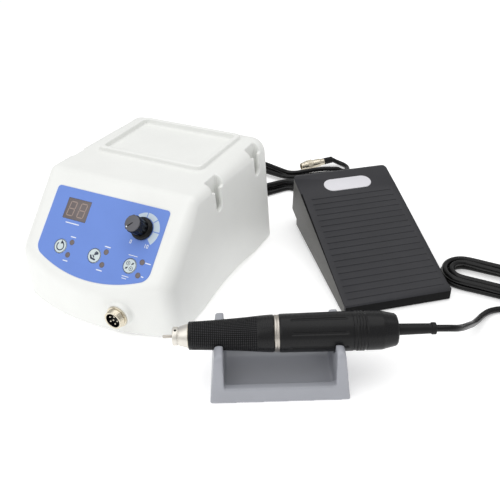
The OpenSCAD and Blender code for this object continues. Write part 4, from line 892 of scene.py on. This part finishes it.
# Display window with unlit figures
window = slab(box2(23.3, 17.8, 0.6, *DISPLAY_AT), -0.8, 0.03, 0.15)
solid("display_window", window, PANEL, SMOKED, "set", ("display_lens",))
figures = []
for dx in (-5.4, 5.2):
    figures += digit("abcdefg", DISPLAY_AT[0] + dx, DISPLAY_AT[1], size=3.0, width=0.9, lean=0.09, gap=0.7)
solid("display_figures", ink(*figures, low=0.015, high=0.06), PANEL, SEGMENT, "set", ())

# Indicator lenses
LENS_PROFILE = [(0, -9), (1.65, -9), (1.65, -0.8), (2.3, -0.8), (2.3, 0.05), (2.05, 0.24), (1.4, 0.36),
                (0, 0.42)]
lens_form = lathe(soften(LENS_PROFILE, 0.12), 40)
solid("indicators", join(*[moved(lens_form, at(x, y, 0)) for x, y in LED_PLACES]), PANEL, LENS, "set",
      ("indicator_lenses",))

# Keys with plain signs
KEY_TOP = 0.3
KEY_PROFILE = [(0, -3.8), (2, -3.8), (6.9, -3.8), (6.9, -2.9), (6, -2.9), (6, KEY_TOP - 0.12),
               (5.9, KEY_TOP), (0, KEY_TOP)]


def arrow(x, y, angle, size):
    tip = [(size, 0), (-size * 0.7, size), (-size * 0.7, -size)]
    c, s = math.cos(math.radians(angle)), math.sin(math.radians(angle))
    return [(x + a * c - b * s, y + a * s + b * c) for a, b in tip]


def key(index, name, node, body, outlines, rings):
    place = PANEL @ at(KEY_XS[index], KEY_Y, 0)
    turned(name, KEY_PROFILE, 0.2, 72, place, KEY, body, (node,))
    low, high = KEY_TOP - 0.02, KEY_TOP + 0.04
    shapes = [ring_ink(0, 0, 5.45, 5.86, low, high)]
    shapes += [ring_ink(*ring[:4], low, high, *ring[4:]) for ring in rings]
    shapes.append(ink(*outlines, low=low, high=high))
    solid(name + "_sign", join(*shapes), place, DARK_PRINT, body, ())


key(0, "turn_key", "key_direction", "direction_key",
    [arrow(0.9, 3.35, -8, 1.7)], [(0, 0, 2.9, 3.85, -225, 88)])
foot = [bar(-3.1, -0.5, -2.2, -2.3, 1.5), bar(-2.1, -2.4, 1.5, -3.0, 1.5), bar(-1.1, 0.2, 0.2, -1.2, 1)]
hand = [bar(0.5, 1.3, 2.3, 2.9, 1.7), bar(0.1, 2.7, 1.3, 3.8, 0.7), bar(2.2, 1.4, 3.4, 2.4, 0.7)]
key(1, "choice_key", "key_control", "control_key", foot + hand, [])
key(2, "cycle_key", "key_auto", "auto_key",
    [bar(1.5, 1.4, 2.4, 2.4, 0.9), arrow(2.7, 2.6, 40, 1.0), bar(-1.5, -1.4, -2.4, -2.2, 0.9),
     arrow(-2.7, -2.4, 220, 1.0), disc(-1.9, 1.9, 0.55, 16), disc(1.9, -1.9, 0.55, 16)],
    [(-1.9, 1.9, 1.35, 1.75), (1.9, -1.9, 1.35, 1.75)])

# Speed knob
KNOB_PLACE = PANEL @ at(*KNOB_AT, 0.6)
KNOB_R, KNOB_FLUTES, FLUTE_AT, FLUTE_R = 7.1, 12, 7.6, 1.2
skirt = soften([(0, 0), (9.4, 0), (9.4, 1.6), (8.6, 2.6), (KNOB_R, 3.4), (0, 3.4)], 0.35)


def flute(a):
    """Radius of the fluted barrel at the angle a."""
    d = ((a * KNOB_FLUTES / (2 * math.pi) + 0.5) % 1 - 0.5) * 2 * math.pi / KNOB_FLUTES
    off = FLUTE_AT * math.sin(d)
    if abs(off) >= FLUTE_R:
        return KNOB_R
    return min(KNOB_R, FLUTE_AT * math.cos(d) - math.sqrt(FLUTE_R ** 2 - off * off))


turns = [2 * math.pi * k / 240 for k in range(240)]
barrel = [(flute(a) * math.cos(a), flute(a) * math.sin(a)) for a in turns]
knob_form = join(lathe(skirt, 96), slab(barrel, 2.8, 15.4, 0.3))
solid("knob_body", knob_form, KNOB_PLACE, KNOB, "knob", ("speed_knob",), 40)
KNOB_CAP = [(0, 15.2), (6.5, 15.2), (6.5, 16.1), (6.2, 16.4), (0, 16.5)]
turned("knob_top", KNOB_CAP, 0.3, 72, KNOB_PLACE, KNOB_GREY, "knob", ("knob_cap",))
POINTER = KNOB_PLACE @ spin(225, "Z")
stroke = ink(bar(-0.4, 0, 5.5, 0, 0.9), low=16.4, high=16.56)
solid("knob_pointer", stroke, POINTER, KNOB, "knob", ())
dot = ink(disc(5.1, 0, 0.6, 20), low=16.45, high=16.6)
solid("knob_dot", dot, POINTER, WHITE_PRINT, "knob", ())

# Front socket
BORE_R = 6.2
SOCKET_RING = [(BORE_R, -14), (7.9, -14), (7.9, 0), (9.3, 0), (9.3, 1.25), (9.05, 1.5), (7.9, 1.5),
               *grooves(7.9, 7.62, 2.3, 0.78, 5, (0.25, 0.4, 0.62)),
               (7.9, 6.2), (7.6, 6.5), (6.5, 6.5), (BORE_R, 6.2)]
socket_shell = turned("socket_shell", SOCKET_RING, 0.12, 96, SOCKET, NICKEL, "set", ("front_socket_shell",),
                      2)
socket_shell.data.materials.append(BLACK_INSERT)
TO_SOCKET = SOCKET.inverted()
for face in socket_shell.data.polygons:
    if (TO_SOCKET @ (face.center / MM)).xy.length < BORE_R + 0.1:
        face.material_index = 1
INSERT = [(0, -12), (6.15, -12), (6.15, 3.2), (5.85, 3.5), (5.2, 3.5), (5.1, 3.1), (0, 3.1)]
turned("socket_insert", INSERT, 0.15, 72, SOCKET, BLACK_INSERT, "set", ("front_socket_insert",))
PIN = [(0, 2.8), (0.8, 2.8), (0.8, 5.2), (0.55, 5.6), (0, 5.7)]
pin = lathe(soften(PIN, 0.15), 24)
pin_places = [(0, 0)] + disc(0, 0, 3.69, 5)
solid("socket_pins", join(*[moved(pin, at(x, y, 0)) for x, y in pin_places]), SOCKET, NICKEL, "set",
      ("front_socket_pins",))

# Handpiece, turned about its axis from the nose back
SHANK_R = 1.175
SHANK = [(0, -7.2), (0.875, -7.2), (SHANK_R, -6.8), (SHANK_R, -0.9), (0.825, -0.7), (0.825, -0.4),
         (SHANK_R, -0.2), (SHANK_R, 22), (0, 22)]
turned("shank", SHANK, 0.1, 40, HANDPIECE, BRUSHED, "spindle", ("tool_shank",))
NOSE = [(2.9, 0), (6.2, 0), (6.75, 0.5), (6.75, 3.5), (6.4, 3.8), (6.4, 4.2), (6.85, 4.6), (8.7, 11.1),
        (4.3, 11.1), (4.3, 2.2), (2.9, 2.2)]
turned("nose", NOSE, 0.25, 120, HANDPIECE, SATIN, "set", ("nose_cap",))
# A black disc set into the nose, just proud of it, stands for the key hole: painted shade in place of a cut
# hole
NOSE_HOLE_SHADE = [(0, 6.1), (0.95, 6.1), (0.95, 6.74), (0.88, 6.79), (0, 6.79)]
hole_shade_place = HANDPIECE @ aim((0, 0, 2.3), (-0.978, -0.208, 0))
solid("nose_hole_painted_shade", lathe(NOSE_HOLE_SHADE, 28), hole_shade_place, BLACK_INSERT, "set", ())

GRIP_LINE = [(10.2, 12.1), (10.45, 20.36), (11.14, 35.78), (12.14, 51.2), (13.215, 64.78), (13.55, 71.6)]
GRIP_FROM, GRIP_TO, GRIP_PITCH, GRIP_ROUND, GRIP_DEPTH = 13.6, 60.5, 1.4, 54, 0.3
GRIP_ROWS = round(4 * (GRIP_TO - GRIP_FROM) / GRIP_PITCH) + 1


def grip_form(r, z, a):
    """Square pads with grooves between them."""
    if r < 9.8 or not GRIP_FROM <= z <= GRIP_TO:
        return r
    across = abs((a * GRIP_ROUND / (2 * math.pi) + 0.5) % 1 - 0.5)
    along = abs(((z - GRIP_FROM) / GRIP_PITCH + 0.5) % 1 - 0.5)
    return r - GRIP_DEPTH * max(0, 1 - 4 * min(across, along))


grip_curve = [(p.x, p.y) for p in smooth_run([(r, z, 0) for r, z in GRIP_LINE], GRIP_PITCH / 8)]


def grip_radius(z):
    for (r0, z0), (r1, z1) in zip(grip_curve, grip_curve[1:]):
        if z <= z1:
            return r0 + (r1 - r0) * max(0, z - z0) / max(0.0001, z1 - z0)
    return grip_curve[-1][0]


rows = [12.1, 12.6, 13.1]
rows += [GRIP_FROM + GRIP_PITCH / 4 * k for k in range(GRIP_ROWS)]
rows += [61, 63, 65, 67, 69, 70.6, 71.6]
grip = [(8.95, 11.4), (9.5, 11.4), (9.8, 11.55)] + [(grip_radius(z), z) for z in rows]
grip += [(13.4, 72.2), (13.1, 72.5), (8.95, 72.5)]
grip_piece = solid("grip", lathe(grip, GRIP_ROUND * 4, grip_form), HANDPIECE, GRIP, "grip",
                   ("grip_sleeve",), 60)
grip_piece.data.materials.append(GRIP_GROOVE_SHADE)
grip_piece.data.materials.append(HANDLE)
TO_HANDPIECE = HANDPIECE.inverted()
for face in grip_piece.data.polygons:
    p = TO_HANDPIECE @ (face.center / MM)
    if not GRIP_FROM < p.z < GRIP_TO:
        face.material_index = 2
    # Faces below the pads get the painted shade of the grooves
    elif p.xy.length < grip_radius(p.z) - 0.1:
        face.material_index = 1

RING = [(8.92, 72.8), (13.1, 72.8), (13.35, 73.05), *grooves(13.35, 13.12, 74.25, 0, 1, (0.2, 0.5, 0.7)),
        (13.35, 76.15), (13.1, 76.4), (8.92, 76.4)]
turned("grip_ring", RING, 0.12, 120, HANDPIECE, BRUSHED, "set", ("middle_ring",), 2)
MOTOR_R, MOTOR_FLUTES, MOTOR_TURN = 14.3, 8, 0.17
CUT_R, CUT_OUT, CUT_FROM, CUT_TO = 1.3, 0.5, 85.4, 123.4


def motor_form(r, z, a):
    """Flutes with round ends along the barrel."""
    if r < 13.2 or not 83 < z < 125:
        return r
    t = ((a - MOTOR_TURN) * MOTOR_FLUTES / (2 * math.pi) + 0.5) % 1 - 0.5
    d = t * 2 * math.pi * MOTOR_R / MOTOR_FLUTES
    beyond = max(0, CUT_FROM - z, z - CUT_TO)
    return r - max(0, math.sqrt(max(0, CUT_R ** 2 - d * d - beyond * beyond)) - CUT_OUT)


MOTOR = [(13.5, 76.4), (13.9, 77), (MOTOR_R, 118.4), (MOTOR_R, 128.3), (14.1, 128.4)]
motor = [(8.92, 76.4)] + divide(MOTOR, 0.8) + [(12, 128.4), (12, 81.4), (8.92, 81.4)]
solid("motor_barrel", lathe(motor, 288, motor_form), HANDPIECE, HANDLE, "set", ("motor_housing",),
      40)
CAP = [(8.02, 128.4), (14.0, 128.4), (14.0, 130.8), (14.4, 131.2),
       *grooves(14.4, 14.15, 132.6, 2.1, 2, (0.2, 0.5, 0.7)), (14.4, 136.8), (13.8, 137.2), (13.8, 138),
       (14.2, 138.4), (14.0, 149.6), (13.3, 152.1), (11.7, 159.4), (10.7, 160.6), (4.4, 160.6), (4.4, 156.6),
       (8, 156.6), (8, 141.4), (8.02, 141.4)]
turned("rear_cover", CAP, 0.5, 144, HANDPIECE, HANDLE, "set", ("rear_cap",))
RELIEF = [(0, 153.6), (7, 153.6), (7, 156.4), (4.25, 156.4), (4.25, 161.5), (3.75, 185.4), (4.45, 185.8),
          (4.45, 188.6), (4.05, 189), (0, 189)]
turned("cord_sleeve", RELIEF, 0.4, 72, HANDPIECE, RUBBER, "set", ("strain_relief",))

# Cradle: the CAD form with every edge rounded
cradle = copy_node("cradle", "cradle_moulding")
remesh(cradle, voxel=0.0009, smoothing=9, keep=0.3)
dress(cradle, CRADLE_GREY, "set", ("cradle",), 60)

# Pedal tread: the CAD form with shallower grooves, round rims, painted light on the sides, painted shade on
# the rim edges and the front, and a bare plate
tread = copy_node("pedal_tread", "tread_shell")
TO_PEDAL = PEDAL.inverted()
FRONT_H, SLOPE_H, SLOPE_L, SLOPE_RISE, HEAD_RISE = 10.8, 48.7, 128.8, 0.2943, 0.216
RIM_H, RIM_R = 2.6, 1.6
RIB_DEPTH = 0.35


def on_rim(vertex):
    """True for the upper edge along the sides, the front and the rear."""
    p = TO_PEDAL @ (vertex.co / MM)
    if p.y < SLOPE_L:
        top = FRONT_H + p.y * SLOPE_RISE
    else:
        top = SLOPE_H + (p.y - SLOPE_L) * HEAD_RISE
    corner = abs(p.x) > 38 and p.y > 150
    return (corner or abs(p.x) > 45 or p.y < 2.5 or p.y > 155) and p.z > top - RIM_H


# The floors of the grooves are lifted to RIB_DEPTH under the slope
slope = max((f for f in tread.data.polygons if f.normal.z > 0.8 and (TO_PEDAL @ (f.center / MM)).y < 120),
            key=lambda f: f.area)
slope_out, slope_at = slope.normal.copy(), slope.center.copy()
for vertex in tread.data.vertices:
    depth = (slope_at - vertex.co).dot(slope_out) / MM
    if 0.3 < depth < 1.2 and abs((TO_PEDAL @ (vertex.co / MM)).x) < 44:
        vertex.co += slope_out * (depth - RIB_DEPTH) * MM

# Round rims
work = bmesh.new()
work.from_mesh(tread.data)
rim = [e for e in work.edges if all(on_rim(v) for v in e.verts) and len(e.link_faces) == 2
       and e.calc_face_angle(0) > math.radians(20) and e.calc_length() > 5 * MM]
bmesh.ops.bevel(work, geom=rim, offset=RIM_R * MM, segments=4, profile=0.5, affect="EDGES",
                clamp_overlap=False)
work.to_mesh(tread.data)
work.free()
bevel(tread, width=0.2)
dress(tread, TREAD, "tread", ("pedal_tread",), 40)
tread.data.materials.append(TREAD_LIT_SIDE)
tread.data.materials.append(TREAD_PAINTED_SHADE)

# Painted light: lighter grey on the sides; painted shade: near black on the walls at the edges of the slope,
# for the shadow gap, and on the front
sideways = (PEDAL.to_3x3() @ Vector((1, 0, 0))).normalized()
forwards = (PEDAL.to_3x3() @ Vector((0, -1, 0))).normalized()
for face in tread.data.polygons:
    p = TO_PEDAL @ (face.center / MM)
    across = abs(face.normal.dot(sideways))
    # Faces that look straight sideways get the painted light of the sides
    if across > 0.97:
        face.material_index = 1
    # Painted shadow of the gap along the edges of the slope
    elif across > 0.25 and 3 < p.y < 127 and p.z > 8 + p.y * SLOPE_RISE:
        face.material_index = 2
    # Painted shade on the front wall
    elif face.normal.dot(forwards) > 0.8 and p.y < 1:
        face.material_index = 2

HEAD = PEDAL @ at(1.3, 135.2, 50.09) @ spin(12.2, "X")
plate = slab(box2(47, 17, 8.4, 0, 0, 12), -0.6, 0.5, 0.3)
solid("tread_plate", plate, HEAD, PLATE, "tread", ())

# Return spring under the tread, wound at one fixed length; the real spring shortens as the tread goes down
SPRING_R, SPRING_WIRE, SPRING_TURNS = 7, 1.4, 7
SPRING_LOW, SPRING_HIGH, SPRING_KEEP = 4.75, 33.0, 0.81


def wound_wire(r, wire, turns, low, high, steps=36, sides=10):
    total = turns * steps
    points, faces = [], []
    for i in range(total + 1):
        a = 2 * math.pi * i / steps
        for k in range(sides):
            b = 2 * math.pi * k / sides
            reach = r + wire / 2 * math.cos(b)
            rise = low + (high - low) * i / total + wire / 2 * math.sin(b)
            points.append((reach * math.cos(a), reach * math.sin(a), rise))
    for i in range(total):
        for k in range(sides):
            n = (k + 1) % sides
            faces.append([i * sides + k, i * sides + n, (i + 1) * sides + n, (i + 1) * sides + k])
    faces.append(list(range(sides)))
    faces.append([total * sides + k for k in range(sides)])
    return points, faces


SPRING_PLACE = PEDAL @ at(0, 105, 0)
spring = solid("spring_coils", wound_wire(SPRING_R, SPRING_WIRE, SPRING_TURNS, SPRING_LOW, SPRING_HIGH),
               SPRING_PLACE, BRUSHED, "set", ("return_spring",), 60)
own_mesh(spring)

# Covers, feet and rear fittings
for node, name, material, body, slot in (
        ("mains_inlet", "inlet_moulding", DARK_PLASTIC, "set", "dark_plastic"),
        ("switch_frame", "switch_surround", DARK_PLASTIC, "set", "dark_plastic"),
        ("power_rocker", "rocker_cap", RED, "rocker", "red_plastic"),
        ("pedal_base", "base_tray", DARK_PLASTIC, "set", "pedal_charcoal"),
        ("unit_feet", "foot_pads", GREY_RUBBER, "set", "rubber_grey"),
        ("base_plate", "bottom_cover", WHITE, "set", "white_plastic")):
    dress(bevel(copy_node(node, name), width=0.35), material, body, (node,))
REAR_RING = [(2.9, -10), (4.6, -10), (4.6, 0), (6, 0), (6, 1.25), (5.75, 1.5), (4.6, 1.5),
             *grooves(4.6, 4.4, 2.2, 1.2, 3, (0.2, 0.4, 0.7)),
             (4.6, 6.2), (4.3, 6.5), (3.2, 6.5), (2.9, 6.2)]
turned("rear_socket_shell", REAR_RING, 0.12, 72, PEDAL_SOCKET, NICKEL, "set", ("pedal_socket_shell",),
       2)
GLAND = [(0, -2.5), (3.5, -2.5), (3.5, 0), (4.2, 0), (4.2, 2)]
for k in range(6):
    z = 3 + 3 * k
    wide = 4.2 - z / 22
    GLAND += [(wide, z), (wide, z + 1.6), (wide - 0.5, z + 1.8), (wide - 0.5, z + 2.8)]
GLAND += [(3.2, 21), (3.2, 22), (0, 22)]
GLAND_PLACE = PEDAL @ at(-20, 138.5, 6.5) @ REAR_WALL
turned("gland_sleeve", GLAND, 0.2, 56, GLAND_PLACE, RUBBER, "set", ("pedal_gland",))

# Pieces that stay as the CAD has them
for material, nodes in (
        (BRUSHED, ("base_screws", "control_shaft", "collet", "spindle_shaft", "pivot_pin", "bearings")),
        (NICKEL, ("front_socket_nut", "front_quill")),
        (BOARD, ("control_board", "driver_board", "sensor_board")),
        (DARK_PLASTIC, ("display_module", "potentiometer")),
        (BLACK_INSERT, ("pedal_socket_insert",)),
        (CORE, ("transformer_core",)),
        (COPPER, ("transformer_coil", "stator")),
        (ALUMINIUM, ("heat_sink", "release_cam")),
        (MAGNET, ("rotor_magnet", "sensor_magnet")),
        (RUBBER, ("pedal_feet",))):
    for node in nodes:
        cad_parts[node].data.materials.clear()
        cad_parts[node].data.materials.append(material)

bpy.context.view_layer.update()
